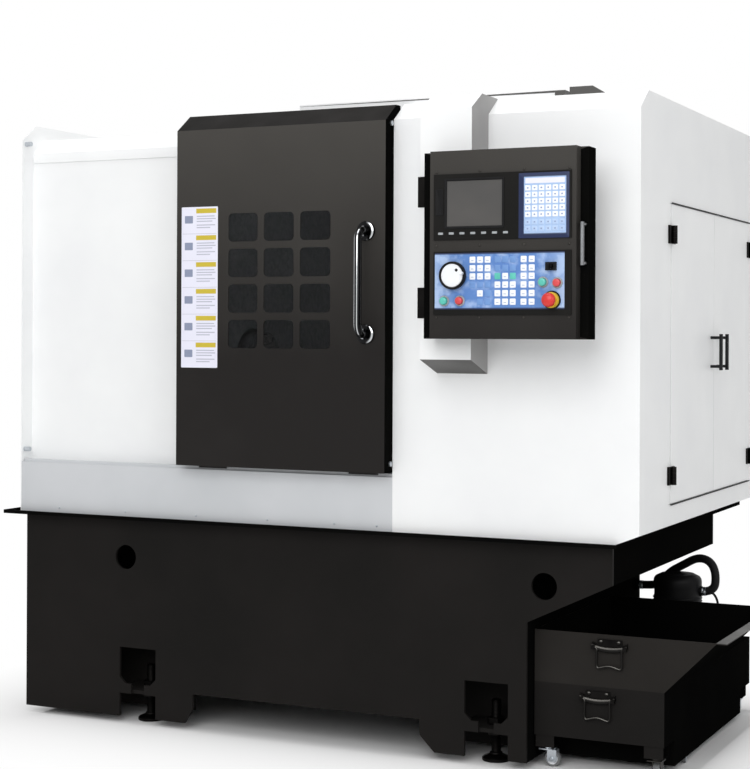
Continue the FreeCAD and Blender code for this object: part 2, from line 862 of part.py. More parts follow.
def make_turret():
    """An eight-sided disc with a tool holder on each flat: four boring bars between four turning tools."""
    prism = doc.addObject("Part::Prism", "turret_prism")
    prism.Polygon = 8
    bind(prism, Circumradius="turret_flats / 2 / cos(22.5)", Height="turret_disc_length")
    prism.Placement = FreeCAD.Placement(V(), FreeCAD.Rotation(V(0, 1, 0), 90))
    flat = group("turret_flat", prism)
    place(flat, axis=(1, 0, 0), angle="22.5")
    shaft = rod("turret_shaft", "turret_shaft_radius", "turret_disc_length + turret_shaft_length", "x")
    cap = rod("turret_cap", "turret_shaft_radius * 1.5", "turret_gap", "x", "0 - turret_gap")
    disc = fuse("turret_core", flat, shaft, cap)
    place(disc, "turret_x", "turret_y", "turret_z")
    holders = []
    for station in range(8):
        base = block(f"holder_block_{station}", "holder_length", "holder_width", "holder_height")
        place(base, "0", "0 - holder_width / 2", "turret_flats / 2")
        if station % 2:
            tool = rod(f"holder_tool_{station}", "bar_tool_radius", "bar_tool_reach", "x")
            place(tool, "0 - bar_tool_reach", "0", "turret_flats / 2 + holder_height / 2")
        else:
            tool = block(f"holder_tool_{station}", "shank_reach", "shank_size", "shank_size")
            place(tool, "0 - shank_reach", "0 - shank_size / 2", "turret_flats / 2 + holder_height - shank_size")
        holder = group(f"holder_{station}", fuse(f"holder_whole_{station}", base, tool))
        holders.append(place(holder, axis=(1, 0, 0), angle=str(45 * station)))
    inset = "(turret_disc_length - holder_length) / 2"
    ring = place(group("tool_holders", *holders), f"turret_x + {inset}", "turret_y", "turret_z")
    node("turret_disc", group("turret_disc", disc, ring))


def make_tailstock():
    tail = body("tailstock_body")
    foot = "high_way + way_width + run_gap + low_way - saddle_low + tail_lip"
    pad(carriage_section(sketch(tail, "YZ_Plane"), foot, "saddle_top"), "tail_body_length")
    post = sketch(tail, "YZ_Plane")
    rectangle(post, "spindle_up - tail_post / 2", "saddle_top", "tail_post", "tail_top - saddle_top")
    pad(post, "tail_body_length")
    bore = circle(sketch(tail, "YZ_Plane"), "spindle_up", "spindle_off", "quill_radius + run_gap")
    pocket(bore)
    node("tailstock_body", on_slope(tail, "tail_x"))
    axis = ("spindle_y", "spindle_z")
    quill = fuse(
        "tailstock_quill",
        rod("quill_barrel", "quill_radius", "quill_length", "x", "tail_x - quill_out", *axis),
        taper("quill_centre", "0.5", "centre_radius", "centre_length", "x", "tail_x - quill_out - centre_length", *axis),
    )
    node("tailstock_quill", quill)


# ------------------------------------------------------------------ enclosure

ENCLOSURE_SIZES = {
    "chamfer_height": 1943,
    "chamfer_depth": 75,
    "side_bottom": 713,
    "recess_back": 58,
    "recess_chamfer_start": 1900,
    "recess_chamfer_depth": 60,
    "left_roof_height": 1953,
    "door_bay_to_left": 1392,
    "shelf_height": 851,
    "bay_from_left": 690,
    "header_low": 1860,
    "corner_clip": 60,
    "column_from_left": 1539,
    "column_to_left": 1702,
    "column_proud": 131,
    "column_low": 1171,
    "column_lip": 1214,
    "column_shoulder": 1950,
    "column_chamfer": 79,
    "cover_from_left": 1000,
    "cover_to_left": 1880,
    "cover_back": 125,
    "cover_depth": 775,
    "cover_top": 2022,
    "lug_thickness": 10,
    "lug_from_left": 1927,
    "lug_top_width": 71,
    "lug_width": 111,
    "lug_back": 80,
    "stop_length": 32,
    "stop_depth": 50,
    "stop_height": 16,
    "stop_spacing": 14,
    "left_wall_from_left": 655,
    "right_wall_from_left": 1750,
    "chuck_window": 118,
    "wall_low": 700,
    "wall_gap": 1.5,
    "pan_front": 849,
    "pan_rear": 790,
    "bar_hole_radius": 38,
}
sizes(ENCLOSURE_SIZES)
places(
    bay_x="left_end + door_bay_to_left",
    shelf_z="shelf_height",
    column_x="left_end + column_from_left",
    column_width="column_to_left - column_from_left",
    inner_left="left_end + sheet",
    inner_right="right_end - sheet",
    recess_y="front_face + recess_back",
    left_wall_x="left_end + left_wall_from_left",
    right_wall_x="left_end + right_wall_from_left",
)


def slope_point(up, off):
    """A point of the bed's own frame, up the slope and off it, in the enclosure's side view."""
    y = f"bed_back + bed_toe + ({up}) * cos(slant_angle) - ({off}) * sin(slant_angle)"
    z = f"tray_floor + bed_foot + ({up}) * sin(slant_angle) + ({off}) * cos(slant_angle)"
    return y, z


def end_outline(drawing, low):
    """The side view of the enclosure, with the folded-back top front corner."""
    return outline(
        drawing,
        ("0", low),
        ("0", "chamfer_height"),
        ("chamfer_depth", "roof_height"),
        ("enclosure_depth", "roof_height"),
        ("enclosure_depth", low),
    )


def make_front_panels():
    left = body("left_end_sheet")
    pad(end_outline(sketch(left, "YZ_Plane"), "tray_floor"), "sheet")
    pocket(circle(sketch(left, "YZ_Plane"), "spindle_y - front_face", "spindle_z", "bar_hole_radius"))
    place(left, "left_end", "front_face")
    bumpers = []
    for z in ("bumper_low", "bumper_high"):
        bumpers.append(rod("bumper", "bumper_radius", "bumper_length", "x", "inner_left", "front_face + bumper_back", z))
    node("left_end_panel", group("left_end_panel", left, *bumpers))

    lower = body("lower_front_sheet")
    fold = sketch(lower, "YZ_Plane")
    outline(
        fold,
        ("0", "0"),
        ("sheet", "0"),
        ("sheet", "shelf_height - tray_floor - sheet"),
        ("recess_back + sheet", "shelf_height - tray_floor - sheet"),
        ("recess_back + sheet", "shelf_height - tray_floor"),
        ("0", "shelf_height - tray_floor"),
    )
    pad(fold, "door_bay_to_left - sheet")
    place(lower, "inner_left", "front_face", "tray_floor")
    travel = "door_bay_to_left - sheet - 2 * rail_end_gap"
    low_rail = block("low_rail", travel, "guide_rail_width", "guide_rail_height")
    place(low_rail, "inner_left + rail_end_gap", "front_face + guide_rail_back", "shelf_height")
    node("lower_front_panel", group("lower_front_panel", lower, low_rail))

    recess = body("left_front_sheet")
    face = sketch(recess, "XZ_Plane")
    outline(
        face,
        ("0", "0"),
        ("bay_from_left - sheet", "0"),
        ("bay_from_left - sheet", "header_low - shelf_height"),
        ("door_bay_to_left - sheet", "header_low - shelf_height"),
        ("door_bay_to_left - sheet", "recess_chamfer_start - shelf_height"),
        ("0", "recess_chamfer_start - shelf_height"),
    )
    pad(face, "sheet", rearwards=True)
    strip = sketch(recess, "YZ_Plane")
    start = "recess_chamfer_start - shelf_height"
    end = "left_roof_height - shelf_height"
    outline(
        strip,
        ("0", start),
        ("recess_chamfer_depth", end),
        ("recess_chamfer_depth", f"{end} - sheet"),
        ("sheet", f"{start} - sheet"),
        ("0", f"{start} - sheet"),
    )
    pad(strip, "door_bay_to_left - sheet")
    place(recess, "inner_left", "recess_y", "shelf_height")
    top_rail = block("top_rail", travel, "top_rail_thick", "top_rail_height")
    place(top_rail, "inner_left + rail_end_gap", "recess_y - top_rail_thick", "top_rail_low")
    node("left_front_panel", group("left_front_panel", recess, top_rail))

    right = body("right_front_panel")
    fold = sketch(right, "YZ_Plane")
    outline(
        fold,
        ("0", "tray_floor"),
        ("0", "chamfer_height"),
        ("chamfer_depth", "roof_height"),
        ("chamfer_depth", "roof_height - sheet"),
        ("sheet", "chamfer_height - sheet"),
        ("sheet", "tray_floor"),
    )
    pad(fold, "enclosure_length - door_bay_to_left - sheet")
    jamb = sketch(right, "YZ_Plane")
    outline(
        jamb,
        ("0", "shelf_height"),
        ("0", "chamfer_height"),
        ("chamfer_depth", "roof_height"),
        ("recess_back + recess_chamfer_depth", "roof_height"),
        ("recess_back + recess_chamfer_depth", "shelf_height"),
    )
    pad(jamb, "sheet")
    clip = sketch(right, "XZ_Plane")
    edge = "enclosure_length - door_bay_to_left"
    outline(
        clip,
        (f"{edge} - corner_clip - sheet", "tray_floor"),
        (f"{edge} - corner_clip - sheet", "base_top + tray_rim"),
        (edge, "side_bottom"),
        (edge, "tray_floor"),
    )
    pocket(clip, "corner_clip")
    node("right_front_panel", place(right, "bay_x", "front_face"))


def make_column():
    column = body("column_shell")
    section = sketch(column, "YZ_Plane")
    outline(
        section,
        ("0", "column_low"),
        ("0", "chamfer_height"),
        ("chamfer_depth", "roof_height"),
        ("column_chamfer - column_proud", "roof_height"),
        ("0 - column_proud", "column_shoulder"),
        ("0 - column_proud", "column_lip"),
    )
    pad(section, "column_width")
    inside = sketch(column, "YZ_Plane", "sheet")
    outline(
        inside,
        ("0", "column_low + 2 * sheet"),
        ("0", "chamfer_height"),
        ("chamfer_depth / 2", "(chamfer_height + roof_height) / 2"),
        ("column_chamfer - column_proud", "roof_height - 2 * sheet"),
        ("sheet - column_proud", "column_shoulder - sheet"),
        ("sheet - column_proud", "column_lip + sheet"),
    )
    pocket(inside, "column_width - 2 * sheet", onwards=True)
    return place(column, "column_x", "front_face")


def make_roof():
    roof = body("roof_sheet")
    step = "door_bay_to_left - sheet"
    section = sketch(roof, "XZ_Plane")
    outline(
        section,
        ("0", "left_roof_height - sheet"),
        (f"{step} + sheet", "left_roof_height - sheet"),
        (f"{step} + sheet", "roof_height - sheet"),
        ("enclosure_length - 2 * sheet", "roof_height - sheet"),
        ("enclosure_length - 2 * sheet", "roof_height"),
        (step, "roof_height"),
        (step, "left_roof_height"),
        ("0", "left_roof_height"),
    )
    pad(section, "enclosure_depth - chamfer_depth - sheet", rearwards=True)
    notch = sketch(roof, "XY_Plane")
    setback = "recess_back + recess_chamfer_depth - chamfer_depth"
    rectangle(notch, "0 - sheet", "0 - sheet", f"{step} + 2 * sheet", f"{setback} + sheet")
    pocket(notch)
    place(roof, "inner_left", "front_face + chamfer_depth")

    cover = body("roof_cover")
    length = "cover_to_left - cover_from_left"
    over = "door_bay_to_left - cover_from_left"
    lift = "roof_height - left_roof_height"
    height = "cover_top - left_roof_height"
    profile = sketch(cover, "XZ_Plane")
    outline(
        profile,
        ("0", "0"),
        (over, "0"),
        (over, lift),
        (length, lift),
        (length, height),
        ("0", height),
    )
    pad(profile, "cover_depth", rearwards=True)
    hollow = sketch(cover, "XZ_Plane", "0 - sheet")
    outline(
        hollow,
        ("sheet", "0"),
        (f"{over} - sheet", "0"),
        (f"{over} - sheet", lift),
        (f"{length} - sheet", lift),
        (f"{length} - sheet", f"{height} - sheet"),
        ("sheet", f"{height} - sheet"),
    )
    pocket(hollow, "cover_depth - 2 * sheet")
    place(cover, "left_end + cover_from_left", "front_face + cover_back", "left_roof_height")

    lug = body("lifting_lug")
    shape = sketch(lug, "XZ_Plane")
    rise = "cover_top - roof_height"
    outline(shape, ("0", "0"), ("lug_width", "0"), ("lug_top_width", rise), ("0", rise))
    pad(shape, "lug_thickness", rearwards=True)
    place(lug, "left_end + lug_from_left", "front_face + lug_back", "roof_height")
    stop = block("cable_stop", "stop_length", "stop_depth", "stop_height")
    place(stop, "left_end + lug_from_left - stop_spacing - stop_length", "front_face + lug_back", "roof_height")
    node("roof_panel", group("roof_panel", roof, cover, lug, stop))


def make_rear_and_inside():
    rear = body("rear_panel")
    face = sketch(rear, "XZ_Plane")
    step = "door_bay_to_left - sheet"
    outline(
        face,
        ("0", "tray_floor"),
        ("tray_to_left - 2 * sheet", "tray_floor"),
        ("tray_to_left - 2 * sheet", "side_bottom"),
        ("enclosure_length - 2 * sheet", "side_bottom"),
        ("enclosure_length - 2 * sheet", "roof_height"),
        (step, "roof_height"),
        (step, "left_roof_height"),
        ("0", "left_roof_height"),
    )
    pad(face, "sheet", rearwards=True)
    node("rear_panel", place(rear, "inner_left", "rear_face - sheet"))
    walls = []
    for name, x in (("chuck_guard", "left_wall_x"), ("tail_guard", "right_wall_x")):
        wall = body(name)
        side = sketch(wall, "YZ_Plane")
        toe = "bed_back - wall_gap"
        foot = "tray_floor + bed_foot + wall_gap"
        outline(
            side,
            ("recess_back + sheet", "wall_low"),
            (toe, "wall_low"),
            (toe, foot),
            ("bed_back + bed_toe - wall_gap / 2", foot),
            ("bed_back + bed_toe + slope_run - wall_gap / 2", f"{foot} + slope_rise"),
            ("bed_back + bed_width + bed_foot", f"{foot} + slope_rise"),
            ("bed_back + bed_width + bed_foot", "left_roof_height - sheet"),
            ("recess_back + recess_chamfer_depth", "left_roof_height - sheet"),
            ("recess_back + sheet", "recess_chamfer_start - sheet"),
        )
        pad(side, "sheet")
        if name == "chuck_guard":
            window = sketch(wall, "YZ_Plane")
            circle(window, "spindle_y - front_face", "spindle_z", "chuck_window")
            pocket(window)
        else:
            ways = sketch(wall, "YZ_Plane")
            for way in ("low_way", "high_way"):
                near = f"{way} - wall_gap"
                far = f"{way} + way_width + wall_gap"
                top = "way_height + wall_gap"
                corners = ((near, "0 - bed_toe"), (far, "0 - bed_toe"), (far, top), (near, top))
                outline(ways, *(slope_point(up, off) for up, off in corners))
            pocket(ways)
        walls.append(place(wall, x, "front_face"))
    pan = body("chip_pan")
    slope = sketch(pan, "YZ_Plane")
    outline(
        slope,
        ("recess_back + sheet", "pan_front"),
        ("bed_back - wall_gap", "pan_rear"),
        ("bed_back - wall_gap", "pan_rear - sheet"),
        ("recess_back + sheet", "pan_front - sheet"),
    )
    pad(slope, "right_wall_x - left_wall_x - sheet")
    place(pan, "left_wall_x + sheet", "front_face")
    node("inner_walls", group("inner_walls", *walls, pan))


# ------------------------------------------------------------------ right end: electrical cabinet and its doors

CABINET_SIZES = {
    "cabinet_door_back": 317,
    "cabinet_door_to_back": 1308,
    "cabinet_split_back": 825,
    "cabinet_door_low": 779,
    "cabinet_door_high": 1685,
    "cabinet_door_thick": 20,
    "cabinet_door_proud": 2,
    "cabinet_door_gap": 3,
    "hinge_width": 64,
    "hinge_height": 55,
    "hinge_low": 837,
    "hinge_high": 1565,
    "hinge_leaf": 4,
    "hinge_pin": 5,
    "hinge_knuckle": 9,
    "pull_low": 1176,
    "pull_high": 1294,
    "pull_proud": 34,
    "pull_radius": 6,
    "pull_inset": 38,
    "plate_from_left": 1850,
    "plate_back": 330,
    "plate_depth": 960,
    "plate_top": 1690,
}
sizes(CABINET_SIZES)
places(
    cabinet_floor_z="side_bottom",
    plate_x="left_end + plate_from_left",
)


def make_cabinet():
    end = body("right_end_sheet")
    pad(end_outline(sketch(end, "YZ_Plane"), "side_bottom"), "sheet")
    hole = sketch(end, "YZ_Plane")
    rectangle(
        hole,
        "cabinet_door_back - cabinet_door_gap",
        "cabinet_door_low - cabinet_door_gap",
        "cabinet_door_to_back - cabinet_door_back + 2 * cabinet_door_gap",
        "cabinet_door_high - cabinet_door_low + 2 * cabinet_door_gap",
    )
    pocket(hole)
    place(end, "right_end - sheet", "front_face")
    floor = cut(
        "cabinet_base",
        block(
            "cabinet_base_sheet",
            "inner_right - right_wall_x - sheet",
            "enclosure_depth - 2 * sheet",
            "sheet",
            "right_wall_x + sheet",
            "front_face + sheet",
            "side_bottom",
        ),
        block(
            "cabinet_base_notch",
            "bed_x + bed_length - right_wall_x",
            "bed_width + 2 * wall_gap",
            "sheet",
            "right_wall_x + wall_gap",
            "bed_y - wall_gap",
            "side_bottom",
        ),
    )
    plate = block("mounting_plate", "sheet", "plate_depth", "plate_top - side_bottom - sheet")
    place(plate, "plate_x", "front_face + plate_back", "side_bottom + sheet")
    node("cabinet_plate", group("cabinet_plate", floor, plate))
    return end


MODULE_SIZES = {
    "drive_count": 4,
    "drive_width": 95,
    "drive_gap": 30,
    "drive_height": 330,
    "drive_depth": 140,
    "drive_low": 1230,
    "rail_low": 960,
    "relay_height": 90,
    "relay_depth": 75,
    "relay_run": 620,
    "transformer_size": 190,
    "transformer_low": 745,
    "duct_height": 50,
    "duct_depth": 60,
    "duct_low": 1140,
}
sizes(MODULE_SIZES)


def make_modules():
    """What the mounting plate carries: servo drives in a row, a wiring duct, a relay row and a transformer."""
    modules = []
    x = "plate_x + sheet"
    start = "front_face + plate_back + drive_gap"
    for count in range(round(number("drive_count"))):
        drive = block(f"drive_{count}", "drive_depth", "drive_width", "drive_height")
        modules.append(place(drive, x, f"{start} + {count} * (drive_width + drive_gap)", "drive_low"))
    duct = block("wiring_duct", "duct_depth", "plate_depth - 2 * drive_gap", "duct_height")
    modules.append(place(duct, x, start, "duct_low"))
    relays = block("relay_row", "relay_depth", "relay_run", "relay_height")
    modules.append(place(relays, x, start, "rail_low"))
    transformer = block("transformer", "transformer_size", "transformer_size", "transformer_size")
    modules.append(place(transformer, x, start, "transformer_low"))
    node("cabinet_modules", group("cabinet_modules", *modules))


def leaf_pair(label, sign, edge):
    """The two halves of a hinge at one edge of a cabinet door: the fixed leaf with its pin, and the door leaf.

    The pin stands just outside the panel, over the gap between the panel and the door.
    """
    fixed = []
    moving = []
    third = "(hinge_height / 3)"
    pin_x = "right_end + cabinet_door_proud + hinge_knuckle"
    for count, low in enumerate(("hinge_low", "hinge_high")):
        name = f"{label}_{count}"
        reach = "(hinge_width / 2 - hinge_knuckle)"
        away = f"{edge} - ({sign}) * (hinge_knuckle + {reach} / 2) - {reach} / 2"
        into = f"{edge} + ({sign}) * (hinge_knuckle + {reach} / 2) - {reach} / 2"
        fixed.append(block(f"leaf_{name}", "hinge_leaf + cabinet_door_proud", reach, "hinge_height", "right_end", away, low))
        moving.append(block(f"wing_{name}", "hinge_leaf", reach, "hinge_height", "right_end + cabinet_door_proud", into, low))
        fixed.append(rod(f"pin_{name}", "hinge_pin", "hinge_height", "z", pin_x, edge, low))
        for part in range(3):
            knuckle = rod(f"knuckle_{name}_{part}", "hinge_knuckle", f"{third} - run_gap", "z", pin_x, edge, f"{low} + {part} * {third}")
            tab_y = f"{edge} - hinge_knuckle - hinge_leaf" if part != 1 else edge
            half = away if part != 1 else into
            side = "-" if part != 1 else "+"
            tab = block(
                f"tab_{name}_{part}",
                "hinge_leaf",
                "hinge_knuckle + hinge_leaf",
                f"{third} - run_gap",
                "right_end + cabinet_door_proud",
                f"{edge} {side} ({sign}) * (hinge_knuckle + hinge_leaf) / 2 - (hinge_knuckle + hinge_leaf) / 2",
                f"{low} + {part} * {third}",
            )
            if part == 1:
                eye = rod(f"eye_{name}", "hinge_pin + run_gap", third, "z", pin_x, edge, f"{low} + {third}")
                moving.append(cut(f"barrel_{name}", fuse(f"barrel_whole_{name}", knuckle, tab), eye))
            else:
                fixed.extend((knuckle, tab))
    return fixed, moving


def make_cabinet_doors(end_panel):
    fixed_all = []
    spans = {
        "front": ("cabinet_door_back", "cabinet_split_back - cabinet_door_gap / 2", 1),
        "rear": ("cabinet_split_back + cabinet_door_gap / 2", "cabinet_door_to_back", -1),
    }
    for end, (near, far, sign) in spans.items():
        door = body(f"cabinet_leaf_{end}")
        leaf = sketch(door, "YZ_Plane")
        rectangle(leaf, near, "cabinet_door_low", f"{far} - ({near})", "cabinet_door_high - cabinet_door_low")
        pad(leaf, "cabinet_door_thick")
        pan = sketch(door, "YZ_Plane")
        rectangle(
            pan,
            f"{near} + 2 * sheet",
            "cabinet_door_low + 2 * sheet",
            f"{far} - ({near}) - 4 * sheet",
            "cabinet_door_high - cabinet_door_low - 4 * sheet",
        )
        pocket(pan, "cabinet_door_thick - sheet", onwards=True)
        place(door, "right_end + cabinet_door_proud - cabinet_door_thick", "front_face")
        edge = "front_face + " + (f"{near} - cabinet_door_gap / 2" if sign == 1 else f"{far} + cabinet_door_gap / 2")
        fixed, moving = leaf_pair(end, sign, edge)
        fixed_all.extend(fixed)
        grip_y = "front_face + " + (f"{far} - pull_inset" if sign == 1 else f"{near} + pull_inset")
        skin = "right_end + cabinet_door_proud"
        posts = [
            rod(f"pull_post_{end}_{count}", "pull_radius * 0.8", "pull_proud", "x", skin, grip_y, spot)
            for count, spot in enumerate(("pull_low + 2 * pull_radius", "pull_high - 2 * pull_radius"))
        ]
        bar = rod(f"pull_bar_{end}", "pull_radius", "pull_high - pull_low", "z", f"{skin} + pull_proud", grip_y, "pull_low")
        pull = fuse(f"pull_{end}", bar, *posts)
        node(f"cabinet_door_{end}", fuse(f"cabinet_door_{end}", door, pull, *moving))
    node("right_end_panel", group("right_end_panel", end_panel, fuse("cabinet_hinges", *fixed_all)))


# ------------------------------------------------------------------ sliding front door

DOOR_SIZES = {
    "door_from_left": 652,
    "door_length": 738,
    "door_proud": 55,
    "door_depth": 107,
    "door_low": 866,
    "door_shoulder": 1936,
    "door_top": 1991,
    "door_chamfer": 77,
    "window_from_left": 843,
    "window_low": 1242,
    "window_width": 105,
    "window_height": 89,
    "window_gap": 23,
    "window_radius": 14,
    "window_columns": 3,
    "window_rows": 4,
    "pane_margin": 25,
    "pane_thickness": 6,
    "guide_rail_back": 10,
    "guide_rail_width": 20,
    "guide_rail_height": 10,
    "top_rail_height": 20,
    "top_rail_low": 1868,
    "top_rail_thick": 5,
    "rail_end_gap": 5,
    "guide_length": 100,
    "guide_lip": 5,
    "guide_inset": 50,
    "handle_from_left": 1326,
    "handle_low": 1288,
    "handle_high": 1601,
    "handle_radius": 12,
    "handle_proud": 58,
    "rosette_radius": 21,
    "rosette_height": 8,
    "bumper_radius": 8,
    "bumper_length": 22,
    "bumper_back": 17,
    "bumper_low": 893,
    "bumper_high": 1930,
    "stud_length": 5,
    "stud_back": -9,
}
sizes(DOOR_SIZES)
places(
    door_x="left_end + door_from_left",
    door_y="front_face - door_proud",
    window_step="window_width + window_gap",
    window_rise="window_height + window_gap",
)


def door_section(drawing, inset):
    """The side view of the door: upright front, folded-back top and open rear, shrunk by an inset."""
    rear = "door_depth" if inset == "0" else "door_depth + sheet"
    outline(
        drawing,
        (inset, f"{inset}"),
        (inset, f"door_shoulder - door_low - {inset} / 2"),
        (f"door_chamfer + {inset} / 2", f"door_top - door_low - {inset}"),
        (rear, f"door_top - door_low - {inset}"),
        (rear, f"{inset}"),
    )
    return drawing


def make_door():
    shell = body("door_shell")
    pad(door_section(sketch(shell, "YZ_Plane"), "0"), "door_length")
    inside = door_section(sketch(shell, "YZ_Plane", "sheet"), "sheet")
    pocket(inside, "door_length - 2 * sheet", onwards=True)
    holes = sketch(shell, "XZ_Plane")
    for column in range(round(number("window_columns"))):
        for row in range(round(number("window_rows"))):
            round_rectangle(
                holes,
                f"window_from_left - door_from_left + {column} * window_step",
                f"window_low - door_low + {row} * window_rise",
                "window_width",
                "window_height",
                "window_radius",
            )
    pocket(holes, "2 * sheet")
    place(shell, "door_x", "door_y", "door_low")
    studs = []
    for z in ("bumper_low", "bumper_high"):
        stud_y = "front_face + stud_back - bumper_radius"
        studs.append(rod("stud", "bumper_radius", "stud_length", "x", "door_x + door_length", stud_y, z))

    pane = block(
        "window_pane",
        "window_columns * window_step - window_gap + 2 * pane_margin",
        "pane_thickness",
        "window_rows * window_rise - window_gap + 2 * pane_margin",
    )
    place(pane, "left_end + window_from_left - pane_margin", "door_y + sheet", "window_low - pane_margin")
    node("door_window", pane)

    spots_z = ("handle_low", "handle_high")
    x = "left_end + handle_from_left"
    bar = rod("handle_bar", "handle_radius", "handle_high - handle_low", "z", x, "door_y - handle_proud", "handle_low")
    pieces = [bar]
    for count, z in enumerate(spots_z):
        pieces.append(rod(f"handle_post_{count}", "handle_radius", "handle_proud", "y", x, "door_y - handle_proud", z))
        pieces.append(rod(f"handle_foot_{count}", "rosette_radius", "rosette_height", "y", x, "door_y - rosette_height", z))
        knob = doc.addObject("Part::Sphere", f"handle_corner_{count}")
        bind(knob, Radius="handle_radius")
        pieces.append(place(knob, x, "door_y - handle_proud", z))
    node("door_handle", fuse("door_handle", *pieces))

    lip = "guide_lip"
    guides = []
    for count, spot in enumerate(("guide_inset", "door_length - guide_inset - guide_length")):
        rail_top = "(shelf_height + guide_rail_height)"
        shoe = cut(
            f"guide_{count}",
            block(
                f"guide_shoe_{count}",
                "guide_length",
                f"guide_rail_width + 2 * ({lip} + run_gap)",
                f"door_low - {rail_top} + {lip}",
                f"door_x + {spot}",
                f"front_face + guide_rail_back - {lip} - run_gap",
                f"{rail_top} - {lip}",
            ),
            block(
                f"guide_groove_{count}",
                "guide_length",
                "guide_rail_width + 2 * run_gap",
                f"{lip} + run_gap",
                f"door_x + {spot}",
                "front_face + guide_rail_back - run_gap",
                f"{rail_top} - {lip}",
            ),
        )
        guides.append(shoe)
    node("front_door", group("front_door", shell, *studs, *guides))



# ------------------------------------------------------------------ swinging control box

BOX_SIZES = {
    "box_from_left": 1586,
    "box_width": 498,
    "box_gap": 16,
    "box_depth": 60,
    "box_low": 1275,
    "box_height": 536,
    "front_from_left": 1620,
    "front_width": 440,
    "front_depth": 36,
    "unit_from_left": 1633,
    "unit_width": 414,
    "unit_proud": 4,
    "display_low": 1556,
    "display_high": 1744,
    "panel_low": 1343,
    "panel_high": 1523,
    "screen_from_left": 1674,
    "screen_width": 168,
    "screen_low": 1595,
    "screen_height": 129,
    "screen_recess": 2,
    "keypad_from_left": 1908,
    "keypad_width": 124,
    "keypad_low": 1566,
    "keypad_height": 166,
    "film_from_left": 1638,
    "film_width": 390,
    "film_low": 1359,
    "film_height": 160,
    "film_proud": 1,
    "wheel_from_left": 1697,
    "wheel_z": 1455,
    "wheel_radius": 40,
    "wheel_height": 24,
    "dial_radius": 30,
    "dial_height": 14,
    "dial_shaft": 8,
    "knob_radius": 5,
    "knob_height": 6,
    "button_radius": 11,
    "button_height": 15,
    "button_travel": 3,
    "stop_travel": 5,
    "stop_from_left": 1992,
    "stop_z": 1384,
    "stop_radius": 20,
    "stop_head": 22,
    "stop_stem": 11,
    "stop_reach": 43,
    "collar_radius": 22,
    "collar_height": 14,
    "key_from_left": 1990,
    "key_z": 1478,
    "key_radius": 8,
    "key_height": 14,
    "key_housing_width": 31,
    "key_housing_height": 23,
    "key_housing_depth": 9,
    "grip_from_left": 2074,
    "grip_low": 1480,
    "grip_high": 1600,
    "grip_proud": 28,
    "grip_radius": 6,
    "swing_leaf": 3,
    "swing_pin": 3.5,
    "swing_knuckle": 7.6,
    "swing_height": 90,
    "swing_inset": 60,
    "swing_reach": 45,
    "start_button_from_left": 1668,
    "start_button_z": 1383,
    "feed_hold_button_from_left": 1716,
    "feed_hold_button_z": 1383,
    "power_on_button_from_left": 1966,
    "power_on_button_z": 1434,
    "power_off_button_from_left": 2008,
    "power_off_button_z": 1432,
}
sizes(BOX_SIZES)
places(
    column_face="front_face - column_proud",
    box_x="left_end + box_from_left",
    box_back="column_face - box_gap",
    box_y="box_back - box_depth",
    front_y="box_y - front_depth",
    unit_y="front_y - unit_proud",
    film_y="unit_y - film_proud",
    swing_y="(box_back + column_face) / 2",
)

BUTTONS = ("start_button", "feed_hold_button", "power_on_button", "power_off_button")


def make_control_box(column):
    shell = body("box_shell")
    pad(rectangle(sketch(shell, "XZ_Plane"), "0", "0", "box_width", "box_height"), "box_depth", rearwards=True)
    inside = sketch(shell, "XZ_Plane")
    rectangle(
        inside,
        "front_from_left - box_from_left + 2 * sheet",
        "3 * sheet",
        "front_width - 4 * sheet",
        "box_height - 6 * sheet",
    )
    pocket(inside, "box_depth - sheet")
    place(shell, "box_x", "box_y", "box_low")

    fixed = []
    moving = []
    third = "(swing_height / 3)"
    ends = ("box_low + swing_inset", "box_low + box_height - swing_inset - swing_height")
    for count, low in enumerate(ends):
        fixed.append(rod(f"swing_pin_{count}", "swing_pin", "swing_height", "z", "box_x", "swing_y", low))
        leaf_y = "column_face - swing_leaf"
        leaf_end = "box_x - swing_knuckle - 2 * run_gap"
        leaf = block(f"swing_leaf_{count}", "swing_reach", "swing_leaf", "swing_height")
        fixed.append(place(leaf, f"{leaf_end} - swing_reach", leaf_y, low))
        tall = f"{third} - run_gap"
        for part in range(3):
            z = f"{low} + {part} * {third}"
            barrel = rod(f"swing_barrel_{count}_{part}", "swing_knuckle", tall, "z", "box_x", "swing_y", z)
            if part == 1:
                wing = block(f"swing_wing_{count}", "swing_reach", "swing_leaf", tall, "box_x", "box_back", z)
                eye = rod(f"swing_eye_{count}", "swing_pin + run_gap", third, "z", "box_x", "swing_y", z)
                moving.append(cut(f"swing_sleeve_{count}", fuse(f"swing_half_{count}", barrel, wing), eye))
            else:
                tab = block(f"swing_tab_{count}_{part}", "swing_knuckle + 2 * run_gap", "swing_leaf", tall)
                fixed.extend((barrel, place(tab, leaf_end, leaf_y, z)))
    node("control_column", group("control_column", column, fuse("swing_hinge", *fixed)))

    front = body("control_front")
    pad(rectangle(sketch(front, "XZ_Plane"), "0", "0", "front_width", "box_height"), "front_depth", rearwards=True)
    hollow = sketch(front, "XZ_Plane", "0 - sheet")
    rectangle(hollow, "2 * sheet", "3 * sheet", "front_width - 4 * sheet", "box_height - 6 * sheet")
    pocket(hollow, "front_depth")
    place(front, "left_end + front_from_left", "front_y", "box_low")

    grip_x = "left_end + grip_from_left"
    bar = rod("grip_bar", "grip_radius", "grip_high - grip_low", "z", grip_x, "box_y - grip_proud", "grip_low")
    posts = [
        rod(f"grip_post_{count}", "grip_radius", "grip_proud", "y", grip_x, "box_y - grip_proud", z)
        for count, z in enumerate(("grip_low + grip_radius", "grip_high - grip_radius"))
    ]
    node("control_box", group("control_box", shell, *moving, front, fuse("box_grip", bar, *posts)))


